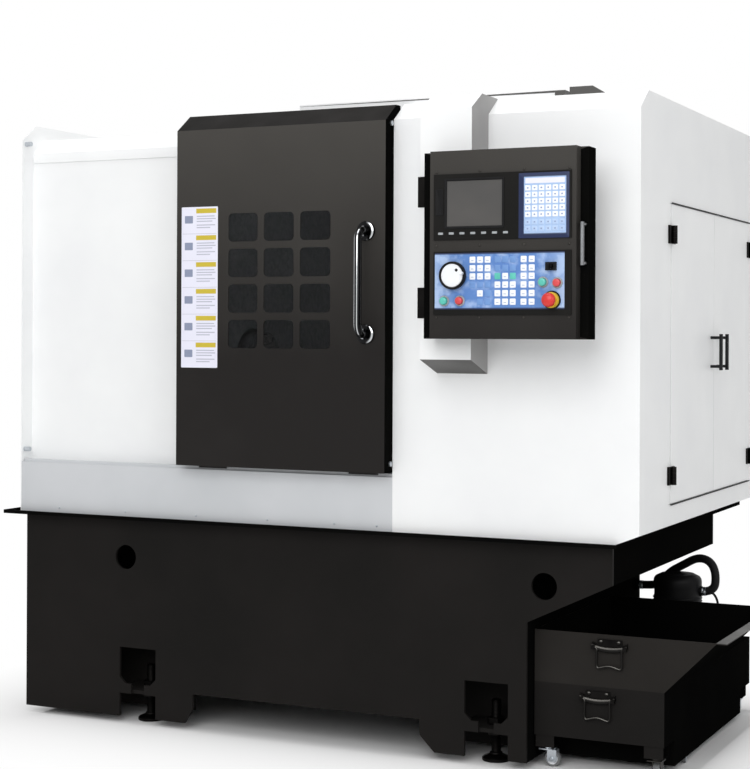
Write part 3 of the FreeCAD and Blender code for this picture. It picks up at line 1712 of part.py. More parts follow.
def make_panels():
    unit = body("display_unit")
    pad(
        rectangle(sketch(unit, "XZ_Plane"), "0", "0", "unit_width", "display_high - display_low"),
        "unit_proud",
        rearwards=True,
    )
    well = sketch(unit, "XZ_Plane")
    rectangle(
        well,
        "screen_from_left - unit_from_left",
        "screen_low - display_low",
        "screen_width",
        "screen_height",
    )
    pocket(well, "screen_recess")
    place(unit, "left_end + unit_from_left", "unit_y", "display_low")
    glass = block("screen_glass", "screen_width", "screen_recess / 2", "screen_height")
    place(glass, "left_end + screen_from_left", "unit_y + screen_recess / 2", "screen_low")
    node("display_screen", glass)
    keypad = block("keypad_film", "keypad_width", "film_proud", "keypad_height")
    place(keypad, "left_end + keypad_from_left", "film_y", "keypad_low")

    panel = body("operator_panel")
    face = sketch(panel, "XZ_Plane")
    rectangle(face, "0", "0", "unit_width", "panel_high - panel_low")
    for name in BUTTONS:
        spot = (f"{name}_from_left - unit_from_left", f"{name}_z - panel_low")
        circle(face, *spot, "button_radius + run_gap")
    spots_round = (
        ("wheel_from_left", "wheel_z", "dial_shaft"),
        ("stop_from_left", "stop_z", "stop_stem"),
        ("key_from_left", "key_z", "key_radius / 2"),
    )
    for x, z, radius in spots_round:
        circle(face, f"{x} - unit_from_left", f"{z} - panel_low", f"{radius} + run_gap")
    pad(face, "unit_proud", rearwards=True)
    place(panel, "left_end + unit_from_left", "unit_y", "panel_low")

    film = body("operator_film")
    sheet_face = sketch(film, "XZ_Plane")
    rectangle(sheet_face, "0", "0", "film_width", "film_height")
    for name in BUTTONS:
        spot = (f"{name}_from_left - film_from_left", f"{name}_z - film_low")
        circle(sheet_face, *spot, "button_radius + 2 * run_gap")
    for x, z, radius in spots_round:
        circle(sheet_face, f"{x} - film_from_left", f"{z} - film_low", f"{radius} + 2 * run_gap")
    pad(sheet_face, "film_proud", rearwards=True)
    place(film, "left_end + film_from_left", "film_y", "film_low")
    x = "left_end + stop_from_left"
    ring = rod("collar_ring", "collar_radius", "collar_height", "y", x, "film_y - collar_height", "stop_z")
    eye = rod("collar_eye", "stop_stem + run_gap", "collar_height", "y", x, "film_y - collar_height", "stop_z")
    collar = cut("estop_collar", ring, eye)
    key_x = "left_end + key_from_left"
    housing_y = "film_y - key_housing_depth"
    lock = cut(
        "key_housing",
        block(
            "key_housing_block",
            "key_housing_width",
            "key_housing_depth",
            "key_housing_height",
            f"{key_x} - key_housing_width / 2",
            housing_y,
            "key_z - key_housing_height / 2",
        ),
        rod("key_housing_bore", "key_radius + run_gap", "key_housing_depth", "y", key_x, housing_y, "key_z"),
    )
    node("control_panels", group("control_panels", unit, keypad, panel, film, collar, lock))


def make_buttons():
    for name in BUTTONS:
        reach = "button_height + film_proud + unit_proud - button_travel - run_gap"
        spot = (f"left_end + {name}_from_left", "film_y - button_height", f"{name}_z")
        node(name, rod(name + "_cap", "button_radius", reach, "y", *spot))
    x = "left_end + stop_from_left"
    stem_length = "stop_reach + film_proud + unit_proud - stop_travel - run_gap"
    stem = rod("stop_stem", "stop_stem", stem_length, "y", x, "film_y - stop_reach", "stop_z")
    head = taper("stop_head", "stop_radius - 4", "stop_radius", "stop_head / 3", "y", x, "film_y - stop_reach", "stop_z")
    rim = rod("stop_rim", "stop_radius", "stop_head * 2 / 3", "y", x, "film_y - stop_reach + stop_head / 3", "stop_z")
    node("estop_button", fuse("estop_button", stem, head, rim))

    x = "left_end + wheel_from_left"
    wheel_y = "film_y - run_gap - wheel_height"
    indicator = rod("wheel_rim", "wheel_radius", "wheel_height", "y", x, wheel_y, "wheel_z")
    dial = rod("wheel_dial", "dial_radius", "dial_height", "y", x, f"{wheel_y} - dial_height", "wheel_z")
    shaft = rod("wheel_shaft", "dial_shaft", "wheel_height + run_gap + film_proud + unit_proud", "y", x, wheel_y, "wheel_z")
    crank = rod("wheel_knob", "knob_radius", "knob_height", "y", f"{x} + wheel_radius - 1.6 * knob_radius", f"{wheel_y} - knob_height", "wheel_z")
    node("handwheel", fuse("handwheel", indicator, dial, shaft, crank))

    x = "left_end + key_from_left"
    barrel_y = "film_y - run_gap - key_height"
    tail_length = "key_height + run_gap + film_proud + unit_proud"
    lock = rod("lock_barrel", "key_radius", "key_height", "y", x, barrel_y, "key_z")
    tail = rod("lock_tail", "key_radius / 2", tail_length, "y", x, barrel_y, "key_z")
    bow = block(
        "lock_bow",
        "key_radius / 2",
        "key_height",
        "key_radius * 1.6",
        f"{x} - key_radius / 4",
        f"{barrel_y} - key_height",
        "key_z - key_radius * 0.8",
    )
    node("key_switch", fuse("key_switch", lock, tail, bow))


# ------------------------------------------------------------------ coolant cart

CART_SIZES = {
    "cart_gap": 4,
    "cart_length": 397,
    "cart_back": 79,
    "tank_low": 97,
    "tank_high": 256,
    "tank_depth": 1051,
    "well_low": 20,
    "well_back": 111,
    "well_depth": 810,
    "tray_depth": 740,
    "tray_high": 411,
    "tray_flare": 151,
    "tray_flange": 30,
    "deck_sheet": 4,
    "pump_from_left": 2028,
    "pump_back": 919,
    "pump_radius": 78,
    "pump_top": 487,
    "pump_dome": 22,
    "pump_flange_radius": 92,
    "pump_flange": 12,
    "pump_foot": 46,
    "pump_intake_radius": 45,
    "pump_intake": 110,
    "caster_inset": 32,
    "rear_caster_inset": 67,
    "hanger_side": 58,
    "hanger_height": 36,
    "caster_radius": 24,
    "caster_width": 20,
    "caster_fork": 3,
    "caster_crown": 44,
    "caster_axle": 4,
    "caster_trail": 16,
    "bail_width": 76,
    "bail_height": 60,
    "bail_rod": 6,
    "bail_plate_width": 108,
    "bail_plate_height": 16,
    "bail_rise": 12,
    "bail_plate": 5,
    "rivet_spacing": 54,
    "rivet_radius": 5,
    "rivet_head": 3,
    "tank_bail_z": 220,
    "tank_bail_from_left": 2024,
    "tray_bail_z": 374,
    "tray_bail_from_left": 2060,
}
sizes(CART_SIZES)
places(
    cart_from_left="leg_from_left + cart_gap",
    cart_x="left_end + cart_from_left",
    cart_y="front_face + cart_back",
    pump_x="left_end + pump_from_left",
    pump_y="front_face + pump_back",
    tank_bail_x="left_end + tank_bail_from_left",
    tray_bail_x="left_end + tray_bail_from_left",
)


def make_cart():
    tank = body("tank_shell")
    height = "tank_high - tank_low"
    drop = "well_low - tank_low"
    well_rear = "well_back + well_depth"
    side = sketch(tank, "YZ_Plane")
    outline(
        side,
        ("0", "0"),
        ("well_back", "0"),
        ("well_back", drop),
        (well_rear, drop),
        (well_rear, "0"),
        ("tank_depth", "0"),
        ("tank_depth", height),
        ("0", height),
    )
    pad(side, "cart_length")
    chambers = sketch(tank, "YZ_Plane", "sheet")
    outline(
        chambers,
        ("sheet", "sheet"),
        ("well_back + sheet", "sheet"),
        ("well_back + sheet", f"{drop} + sheet"),
        ("tray_depth - sheet", f"{drop} + sheet"),
        ("tray_depth - sheet", f"{height} + sheet"),
        ("sheet", f"{height} + sheet"),
    )
    outline(
        chambers,
        ("tray_depth", f"{drop} + sheet"),
        (f"{well_rear} - sheet", f"{drop} + sheet"),
        (f"{well_rear} - sheet", "sheet"),
        ("tank_depth - sheet", "sheet"),
        ("tank_depth - sheet", f"{height} - deck_sheet"),
        ("tray_depth", f"{height} - deck_sheet"),
    )
    pocket(chambers, "cart_length - 2 * sheet", onwards=True)
    hole = sketch(tank, "XY_Plane", "tank_high - tank_low")
    circle(hole, "pump_from_left - cart_from_left", "pump_back - cart_back", "pump_intake_radius + run_gap")
    pocket(hole, "2 * deck_sheet")
    weir = sketch(tank, "XZ_Plane", "2 * sheet - tray_depth")
    rectangle(weir, "cart_length / 4", "sheet", "cart_length / 2", "(tank_high - tank_low) / 2")
    pocket(weir, "3 * sheet")
    place(tank, "cart_x", "cart_y", "tank_low")

    tray = body("tray_shell")
    rise = "tray_high - tank_high"
    lip = "cart_length + tray_flare + tray_flange"
    profile = sketch(tray, "XZ_Plane")
    outline(
        profile,
        ("0", "0"),
        ("cart_length", "0"),
        ("cart_length + tray_flare", f"{rise} - sheet"),
        (lip, f"{rise} - sheet"),
        (lip, rise),
        ("0", rise),
    )
    pad(profile, "tray_depth", rearwards=True)
    trough = sketch(tray, "XZ_Plane", "0 - sheet")
    outline(
        trough,
        ("sheet", "sheet"),
        ("cart_length - sheet", "sheet"),
        ("cart_length + tray_flare - sheet / 2", rise),
        ("cart_length + tray_flare - sheet / 2", f"{rise} + sheet"),
        ("sheet", f"{rise} + sheet"),
    )
    pocket(trough, "tray_depth - 2 * sheet")
    place(tray, "cart_x", "cart_y", "tank_high")

    tank_plate, tank_loop = make_bail("tank_bail", "tank_bail_x", "tank_bail_z")
    tray_plate, tray_loop = make_bail("tray_bail", "tray_bail_x", "tray_bail_z")
    node("chip_tray", group("chip_tray", tray, tray_plate))
    node("tank_bail", tank_loop)
    node("tray_bail", tray_loop)
    forks = []
    spots_below = [
        (f"cart_x + {x}", f"cart_y + {y}")
        for y in ("caster_inset", "tank_depth - rear_caster_inset")
        for x in ("caster_inset", "cart_length - caster_inset")
    ]
    for count, (x, y) in enumerate(spots_below, 1):
        forks.append(make_caster(count, x, y, count == 1))
    node("coolant_tank", group("coolant_tank", tank, tank_plate, *forks))


def make_caster(count, x, y, sideways):
    """A folded hanger under the tank, the fork and axle below it, and the wheel; one stands sideways."""

    def turned(across, along):
        """An X and Y pair from what lies across the wheel and along its way."""
        return (along, across) if sideways else (across, along)

    half = "(caster_width / 2 + caster_fork + run_gap)"
    crown = "(2 * caster_radius + caster_fork)"
    corner = (f"{x} - hanger_side / 2", f"{y} - hanger_side / 2")
    hanger_low = "tank_low - hanger_height"
    hanger = cut(
        f"caster_hanger_{count}",
        block(f"hanger_outer_{count}", "hanger_side", "hanger_side", "hanger_height", *corner, hanger_low),
        block(
            f"hanger_inner_{count}",
            "hanger_side",
            "hanger_side - 2 * sheet",
            "hanger_height - sheet",
            f"{x} - hanger_side / 2",
            f"{y} - hanger_side / 2 + sheet",
            f"{hanger_low} + sheet",
        ),
    )
    neck_length = f"{hanger_low} - {crown} - caster_fork"
    pieces = [
        hanger,
        rod(f"caster_neck_{count}", "caster_crown / 3", neck_length, "z", x, y, f"{crown} + caster_fork"),
        block(
            f"caster_crown_{count}",
            "caster_crown",
            "caster_crown",
            "caster_fork",
            f"{x} - caster_crown / 2",
            f"{y} - caster_crown / 2",
            crown,
        ),
    ]
    for side, offset in (("left", f"0 - {half}"), ("right", "caster_width / 2 + run_gap")):
        length, depth = turned("caster_fork", "caster_radius * 1.2")
        from_x, from_y = turned(offset, "caster_trail - caster_radius * 0.6")
        pieces.append(
            block(
                f"caster_{side}_{count}",
                length,
                depth,
                f"{crown} - caster_radius + 2 * caster_axle",
                f"{x} + {from_x}",
                f"{y} + {from_y}",
                "caster_radius - 2 * caster_axle",
            )
        )
    way = "y" if sideways else "x"
    pin_x, pin_y = turned(f"0 - {half}", "caster_trail")
    hub_x, hub_y = turned("0 - caster_width / 2", "caster_trail")
    hub = (f"{x} + {hub_x}", f"{y} + {hub_y}", "caster_radius")
    pin = (f"{x} + {pin_x}", f"{y} + {pin_y}", "caster_radius")
    pieces.append(rod(f"caster_pin_{count}", "caster_axle", f"2 * {half}", way, *pin))
    tyre = rod(f"caster_tyre_{count}", "caster_radius", "caster_width", way, *hub)
    eye = rod(f"caster_eye_{count}", "caster_axle + run_gap", "caster_width", way, *hub)
    node(f"caster_wheel_{count}", cut(f"caster_wheel_{count}", tyre, eye))
    return fuse(f"caster_fork_{count}", *pieces)


def make_bail(name, x, z):
    """A drop handle: a bowed bracket with eyes and rivets on the sheet, and a bail that hangs from it."""
    ear = "bail_rod * 2"
    front = "cart_y"
    half = "bail_plate_width / 2"
    low = "0 - bail_plate_height / 2"
    bracket = body(f"{name}_bracket")
    face = sketch(bracket, "XZ_Plane")
    outline(
        face,
        (f"0 - {half}", f"{low} + bail_rise / 2"),
        (f"0 - {half} + {ear}", f"{low}"),
        (f"{half} - {ear}", f"{low}"),
        (half, f"{low} + bail_rise / 2"),
        (half, f"{low} + bail_plate_height + bail_rise / 2"),
        ("rivet_spacing / 2 + 2 * rivet_radius", f"{low} + bail_plate_height"),
        ("rivet_spacing / 2 + 2 * rivet_radius", f"{low} + bail_plate_height + 3 * rivet_radius"),
        ("0 - rivet_spacing / 2 - 2 * rivet_radius", f"{low} + bail_plate_height + 3 * rivet_radius"),
        ("0 - rivet_spacing / 2 - 2 * rivet_radius", f"{low} + bail_plate_height"),
        (f"0 - {half}", f"{low} + bail_plate_height + bail_rise / 2"),
    )
    pad(face, "bail_plate")
    place(bracket, x, front, z)
    pieces = [bracket]
    axis_y = f"{front} - bail_plate - {ear} / 2"
    for side in (-1, 1):
        left = f"{x} + {side} * ({half} - {ear} / 2) - {ear} / 2"
        hub = block(f"{name}_ear_{side}", ear, ear, ear, left, f"{front} - bail_plate - {ear}", f"{z} - {ear} / 2")
        eye = rod(f"{name}_eye_{side}", "bail_rod / 2 + run_gap", ear, "x", left, axis_y, z)
        pieces.append(cut(f"{name}_hub_{side}", hub, eye))
        rivet_x = f"{x} + {side} * rivet_spacing / 2"
        rivet_y = f"{front} - bail_plate - rivet_head"
        rivet_z = f"{z} + bail_plate_height / 2 + 1.5 * rivet_radius"
        pieces.append(rod(f"{name}_rivet_{side}", "rivet_radius", "rivet_head", "y", rivet_x, rivet_y, rivet_z))
    fused = fuse(f"{name}_carrier", *pieces)
    arm = "bail_width / 2"
    low = f"{z} - bail_height"
    pieces = []
    for side in (-1, 1):
        inner = f"{x} + {side} * ({arm} + {half}) / 2 - ({half} - {arm}) / 2"
        arm_x = f"{x} + {side} * {arm}"
        pieces.append(rod(f"{name}_pivot_{side}", "bail_rod / 2", f"{half} - {arm}", "x", inner, axis_y, z))
        pieces.append(rod(f"{name}_arm_{side}", "bail_rod / 2", "bail_height", "z", arm_x, axis_y, low))
    pieces.append(rod(f"{name}_bar", "bail_rod / 2", "bail_width", "x", f"{x} - {arm}", axis_y, low))
    return fused, fuse(f"{name}_loop", *pieces)


def make_pump():
    axis = ("pump_x", "pump_y")
    deck = "tank_high"
    low = f"{deck} + pump_foot"
    pieces = [
        rod("pump_flange", "pump_flange_radius", "pump_flange", "z", *axis, deck),
        rod("pump_neck", "pump_radius * 0.8", "pump_foot", "z", *axis, deck),
        rod("pump_barrel", "pump_radius", f"pump_top - pump_dome - ({low})", "z", *axis, low),
        taper("pump_cap", "pump_radius", "pump_radius * 0.72", "pump_dome", "z", *axis, "pump_top - pump_dome"),
        rod("pump_intake", "pump_intake_radius", "pump_intake", "z", *axis, f"{deck} - pump_intake"),
        rod("pump_outlet", "hose_radius + hose_fit", "outlet_reach", "x", *axis, "outlet_z"),
        block(
            "pump_terminals",
            "pump_radius * 0.8",
            "pump_radius * 0.7",
            "pump_radius * 0.7",
            "cable_x - pump_radius * 0.8",
            "cable_y - pump_radius * 0.5",
            "cable_z - pump_radius * 0.35",
        ),
    ]
    node("coolant_pump", fuse("coolant_pump", *pieces))


LINE_SIZES = {
    "hose_radius": 14,
    "hose_fit": 3,
    "outlet_reach": 84,
    "outlet_z": 432,
    "port_radius": 20,
    "port_length": 16,
    "port_back": 1098,
    "port_z": 414,
    "cable_radius": 4,
    "gland_radius": 9,
    "gland_length": 14,
    "gland_back": 1010,
    "gland_z": 330,
}
sizes(LINE_SIZES)
places(
    outlet_x="pump_x + outlet_reach",
    cable_x="pump_x + pump_radius * 0.4",
    cable_y="pump_y + pump_radius * 1.15",
    cable_z="pump_top - pump_dome - pump_radius * 0.5",
    port_x="leg_x + port_length",
    port_y="front_face + port_back",
    gland_y="front_face + gland_back",
)


def route_points(name):
    """The chosen points of a free hose or cable, as offsets from the pump's axis on the deck."""
    return {
        "hose": [
            (84, 0, 176),
            (126, 0, 176),
            (130, 5, 238),
            (108, 15, 277),
            (60, 34, 285),
            (0, 62, 251),
            (-56, 98, 220),
            (-96, 138, 176),
            (-138, 179, 158),
            (-190, 179, 158),
        ],
        "cable": [
            (31, 90, 170),
            (64, 90, 170),
            (108, 84, 158),
            (122, 80, 108),
            (104, 90, 50),
            (58, 106, 16),
            (-30, 116, 10),
            (-96, 104, 34),
            (-152, 91, 74),
            (-192, 91, 74),
        ],
    }[name]


def tube(name, points, radius):
    """A tube along straight runs joined by tangent arcs, each arc as large as its two runs allow."""
    edges = []
    here = points[0]
    length = 0
    radii = []
    for before, corner, after in zip(points, points[1:], points[2:]):
        back = (before - corner).normalize()
        ahead = (after - corner).normalize()
        run = min((before - corner).Length, (after - corner).Length)
        turn = math.pi - back.getAngle(ahead)
        bend = 0.45 * run / math.tan(turn / 2)
        set_back = 0.45 * run
        start = corner + back * set_back
        end = corner + ahead * set_back
        middle_way = (back + ahead).normalize()
        middle = corner + middle_way * (math.hypot(bend, set_back) - bend)
        edges.append(Part.LineSegment(here, start).toShape())
        edges.append(Part.Arc(start, middle, end).toShape())
        length += (start - here).Length + bend * turn
        radii.append(round(bend))
        here = end
    edges.append(Part.LineSegment(here, points[-1]).toShape())
    length += (points[-1] - here).Length
    path = Part.Wire(edges)
    rim = Part.Wire(Part.Circle(points[0], points[1] - points[0], radius).toShape())
    solid = path.makePipeShell([rim], True, False)
    share = solid.Volume / (math.pi * radius * radius * length)
    print(f"{name}: length {length:.0f} mm, radii {radii}, volume over section times length {share:.4f}")
    feature = doc.addObject("Part::Feature", name)
    feature.Shape = solid
    return feature


def make_lines():
    deck = V(number("pump_x"), number("pump_y"), number("tank_high"))
    hose = [deck + V(*spot) for spot in route_points("hose")]
    hose[0] = V(number("outlet_x"), number("pump_y"), number("outlet_z"))
    hose[-1] = V(number("port_x + run_gap"), number("port_y"), number("port_z"))
    node("coolant_hose", tube("coolant_hose", hose, number("hose_radius")))
    cable = [deck + V(*spot) for spot in route_points("cable")]
    cable[0] = V(number("cable_x"), number("cable_y"), number("cable_z"))
    cable[1] = V(cable[1].x, cable[0].y, cable[0].z)
    cable[-1] = V(number("leg_x + gland_length + run_gap"), number("gland_y"), number("gland_z"))
    node("pump_cable", tube("pump_cable", cable, number("cable_radius")))


# ------------------------------------------------------------------ build, check and write

make_base()
make_tray_and_bed()
make_headstock()
make_chuck()
make_drive()
make_carriage()
make_turret()
make_tailstock()
make_front_panels()
control_column = make_column()
make_roof()
make_rear_and_inside()
end_panel = make_cabinet()
make_modules()
make_cabinet_doors(end_panel)
make_door()
make_control_box(control_column)
make_panels()
make_buttons()
make_cart()
make_pump()
make_lines()
doc.recompute()

for thing in doc.Objects:
    if "Invalid" in thing.State or "Error" in thing.State:
        raise RuntimeError(f"{thing.Name} failed: {thing.State}")
os.makedirs("parts", exist_ok=True)
for thing in nodes:
    shape = thing.Shape
    if thing.Label.endswith("001"):
        raise RuntimeError(f"{thing.Label} is used twice")
    if shape.isNull() or not shape.isValid():
        raise RuntimeError(f"{thing.Label} has no valid shape")
    shape.exportStep(os.path.join("parts", thing.Label + ".step"))
print(f"{len(nodes)} nodes")
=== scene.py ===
import math

import bmesh
import bpy
import numpy as np
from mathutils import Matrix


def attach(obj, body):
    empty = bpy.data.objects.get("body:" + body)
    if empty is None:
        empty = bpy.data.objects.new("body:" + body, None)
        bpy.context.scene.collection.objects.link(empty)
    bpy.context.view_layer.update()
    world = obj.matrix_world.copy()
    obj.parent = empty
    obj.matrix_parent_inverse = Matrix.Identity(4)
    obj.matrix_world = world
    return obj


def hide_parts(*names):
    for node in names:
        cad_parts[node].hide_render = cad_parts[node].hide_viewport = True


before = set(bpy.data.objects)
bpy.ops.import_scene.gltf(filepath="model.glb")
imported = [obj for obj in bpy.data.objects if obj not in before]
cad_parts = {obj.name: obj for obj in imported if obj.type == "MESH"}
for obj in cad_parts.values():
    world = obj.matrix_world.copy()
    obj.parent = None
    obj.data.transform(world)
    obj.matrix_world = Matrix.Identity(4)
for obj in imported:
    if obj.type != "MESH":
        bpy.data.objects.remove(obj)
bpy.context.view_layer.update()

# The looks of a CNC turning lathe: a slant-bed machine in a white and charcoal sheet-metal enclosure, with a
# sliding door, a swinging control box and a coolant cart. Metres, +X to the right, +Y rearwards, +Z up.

MM = 0.001
X, Y, Z = np.eye(3)
scene = bpy.context.scene
scene.view_settings.view_transform = "Standard"


def spot(from_left, back, high):
    """A point from its distances in mm: from the enclosure's left end, behind its front face, and up."""
    return np.array([from_left - 1177.0, back - 579.5, high]) * MM


# ------------------------------------------------------------------ camera

lens_pixels = 1720.0
frame_pixels = 769.0
camera = bpy.data.cameras.new("camera")
camera.sensor_width = 36.0
camera.lens = lens_pixels / frame_pixels * camera.sensor_width
camera.shift_y = -0.0625
camera.clip_end = 60.0
eye = bpy.data.objects.new("camera", camera)
eye.location = (2.424, -5.3385, 1.281)
eye.rotation_euler = (math.radians(90), math.radians(-0.26), math.radians(25.5))
scene.collection.objects.link(eye)
scene.camera = eye


# ------------------------------------------------------------------ material helpers


def linear(code):
    """A colour socket's value from an sRGB hex code."""
    parts = np.array([int(code[i : i + 2], 16) for i in (1, 3, 5)]) / 255
    parts = np.where(parts <= 0.04045, parts / 12.92, ((parts + 0.055) / 1.055) ** 2.4)
    return (*parts, 1.0)


def add(tree, kind, settings=None, links=None):
    """Adds a node, sets its own values or its sockets by name or number, and links outputs to its sockets."""
    item = tree.nodes.new(kind)
    for key, value in (settings or {}).items():
        if isinstance(key, str) and hasattr(item, key):
            setattr(item, key, value)
        else:
            item.inputs[key].default_value = value
    for key, source in (links or {}).items():
        tree.links.new(source, item.inputs[key])
    return item


def start(name):
    """A new material, its empty node tree and its Object coordinates."""
    material = bpy.data.materials.new(name)
    material.use_nodes = True
    tree = material.node_tree
    tree.nodes.clear()
    return material, tree, add(tree, "ShaderNodeTexCoord").outputs["Object"]


# The stretch of a lump pattern's values that holds nearly all of it.
LUMP_RANGE = {"From Min": 0.3, "From Max": 0.7}


def finish(material, settings, links, skin=None, relief=0.0, strength=0.5, gloss=None):
    """Ends a material: its shader takes the settings and links. A skin pattern stands up by relief metres,
    and where gloss gives two roughnesses, the skin's hollows have the first and its tops the second."""
    tree = material.node_tree
    if gloss:
        limits = {**LUMP_RANGE, "To Min": gloss[0], "To Max": gloss[1]}
        links["Roughness"] = add(tree, "ShaderNodeMapRange", limits, {"Value": skin}).outputs[0]
    if skin:
        bump = {"Strength": strength, "Distance": relief}
        links["Normal"] = add(tree, "ShaderNodeBump", bump, {"Height": skin}).outputs[0]
    shader = add(tree, "ShaderNodeBsdfPrincipled", settings, links)
    add(tree, "ShaderNodeOutputMaterial", None, {"Surface": shader.outputs[0]})
    return material


def lumps(tree, place, size, detail=2.0, stretch=(1, 1, 1)):
    """A pattern of soft lumps of a real size in metres, drawn out along the axes that stretch names."""
    scale = tuple(1.0 / (size * part) for part in stretch)
    spread = add(tree, "ShaderNodeMapping", {"vector_type": "POINT", "Scale": scale}, {"Vector": place})
    settings = {"Scale": 1.0, "Detail": detail, "Roughness": 0.55}
    return add(tree, "ShaderNodeTexNoise", settings, {"Vector": spread.outputs[0]}).outputs["Fac"]


def drift(tree, place, size, low, high, detail=2.0):
    """A number that drifts between low and high over lumps of a real size in metres."""
    limits = {**LUMP_RANGE, "To Min": low, "To Max": high}
    return add(tree, "ShaderNodeMapRange", limits, {"Value": lumps(tree, place, size, detail)}).outputs[0]


def two_shades(tree, place, size, colour, shade, detail=2.0):
    """A colour that drifts into another shade of it over lumps of a real size in metres."""
    tones = {"data_type": "RGBA", 6: linear(colour), 7: linear(shade)}
    share = drift(tree, place, size, 0.0, 1.0, detail)
    return add(tree, "ShaderNodeMix", tones, {0: share}).outputs[2]


def coated_steel(name, colour, shade, peel, relief, rough, spread=0.06, metal=0.0, shine=0.5):
    """Sprayed or powder-coated steel: the coat's orange peel as bump, and slow changes of shade and gloss."""
    material, tree, place = start(name)
    paint = two_shades(tree, place, 0.35, colour, shade, 3.0)
    gloss = drift(tree, place, 0.09, rough - spread, rough + spread)
    settings = {"Metallic": metal, "Specular IOR Level": shine}
    links = {"Base Color": paint, "Roughness": gloss}
    return finish(material, settings, links, lumps(tree, place, peel, 3.0), relief)


def worked_metal(name, colour, shade, rough, grain, stretch, relief, spread=0.07):
    """Bare metal whose grinding, turning or brushing left lines a grain apart, drawn out by stretch."""
    material, tree, place = start(name)
    lines = lumps(tree, place, grain, 4.0, stretch)
    links = {"Base Color": two_shades(tree, place, 0.06, colour, shade)}
    return finish(material, {"Metallic": 1.0}, links, lines, relief, 0.35, (rough - spread, rough + spread))


def moulded(name, colour, shade, rough, grain, relief, bloom=0.0, shine=0.5):
    """Moulded plastic or rubber: an even colour with a slow drift, and the mould's fine grain as bump."""
    material, tree, place = start(name)
    links = {"Base Color": two_shades(tree, place, 0.05, colour, shade)}
    settings = {"Sheen Weight": bloom, "Specular IOR Level": shine}
    skin = lumps(tree, place, grain)
    return finish(material, settings, links, skin, relief, 0.4, (rough - 0.05, rough + 0.05))


# ------------------------------------------------------------------ materials
# Grains and peels under about 1 mm are drawn as coarse as they need to show.

# Polyester powder coat on the enclosure's sheets: white, half gloss, with a fine orange peel of about 2 mm.
white_powder_coat = coated_steel("white_powder_coat", "#F4F5F5", "#EEEFF0", 0.002, 0.00006, 0.4, shine=0.3)
# The same coat in charcoal on the base, the drip tray and the cart: near black and matt, with deeper peel.
charcoal_powder_coat = coated_steel(
    "charcoal_powder_coat", "#201E1D", "#1B1A19", 0.0018, 0.0001, 0.55, shine=0.04
)
# A black coat with almost no shine on side and inner sheets of base, cart, door and control box and on the
# drip tray's edges: painted shade, standing for their charcoal and lacquer coats where little light falls.
painted_shade_black_coat = coated_steel(
    "painted_shade_black_coat", "#0E0E0D", "#0A0A0A", 0.0018, 0.0001, 0.65, 0.02, shine=0.0
)
# The chip tray's coat, a shade paler than the charcoal coat.
paler_charcoal_coat = coated_steel("paler_charcoal_coat", "#292725", "#242220", 0.0018, 0.0001, 0.5, shine=0.05)
# Dark grey coat on the roof's fittings. The same coat is painted shade under the column, a painted highlight
# on the top of the chip tray's flange, and the roof box's painted shadow line.
slate_coat_and_painted_light = coated_steel("slate_coat_and_painted_light", "#565553", "#4C4B4A", 0.002, 0.00006, 0.45, shine=0.2)
# Black enamel on the control box's two units, darker and smoother than the box.
unit_enamel = coated_steel("unit_enamel", "#1E1D1C", "#181817", 0.0015, 0.00003, 0.42, 0.03, shine=0.06)
# Silver lacquer with fine metal flake on the long lower front sheet.
silver_lacquer = coated_steel(
    "silver_lacquer", "#CDCFD2", "#C4C7CA", 0.0012, 0.00004, 0.42, 0.05, metal=0.1, shine=0.3
)
# Mid grey coat on the control column's right side: painted shade, standing for the white coat where less
# light falls.
painted_shade_grey_coat = coated_steel("painted_shade_grey_coat", "#A3A2A1", "#949393", 0.002, 0.00006, 0.42, shine=0.3)
# Machine enamel over a grey iron casting: the sand's texture of about 3 mm shows through.
grey_casting_enamel = coated_steel("grey_casting_enamel", "#8C918F", "#7F8583", 0.003, 0.0004, 0.45)
# Cast iron of the drive motor's and the coolant pump's shells in black enamel.
black_motor_enamel = coated_steel("black_motor_enamel", "#0F0F10", "#151516", 0.002, 0.00015, 0.45, shine=0.1)
# Ground and scraped steel on ways, slides and the turret disc: bright, with fine lines along X.
ground_steel = worked_metal("ground_steel", "#B9BBBD", "#A6A9AC", 0.26, 0.0006, (60, 1, 1), 0.00002)
# Turned steel on the spindle and the chuck: lines round the axis, so they are short along X.
turned_steel = worked_metal("turned_steel", "#A7AAAD", "#94989C", 0.28, 0.0007, (1, 40, 40), 0.00003)
# Zinc-plated pressed steel on casters, screws and brackets: bright, bluish, slightly mottled.
zinc_plate = worked_metal("zinc_plate", "#C9CED3", "#AEB4BB", 0.3, 0.0015, (1, 1, 1), 0.00002)
# Oil-blackened steel on screws: dark with bare shine on its rounds. On one caster's fork it is painted shade,
# standing for zinc plate in shadow.
blackened_steel_and_painted_shade = worked_metal("blackened_steel_and_painted_shade", "#4A4845", "#383634", 0.34, 0.001, (1, 1, 1), 0.00004)
# The same blackening on the hinges and the levelling feet, dulled by oil and floor dust.
dull_black_steel = worked_metal("dull_black_steel", "#1C1B1A", "#131212", 0.5, 0.001, (1, 1, 1), 0.00004)
# Black chromium on the cabinet pulls.
black_chromium = worked_metal(
    "black_chromium", "#2E2F30", "#222324", 0.16, 0.004, (1, 1, 1), 0.000005, 0.03
)
# Satin nickel on the control box's grip, brushed along Z.
satin_nickel = worked_metal("satin_nickel", "#7C7D7F", "#6A6B6D", 0.3, 0.0012, (1, 1, 20), 0.00001)
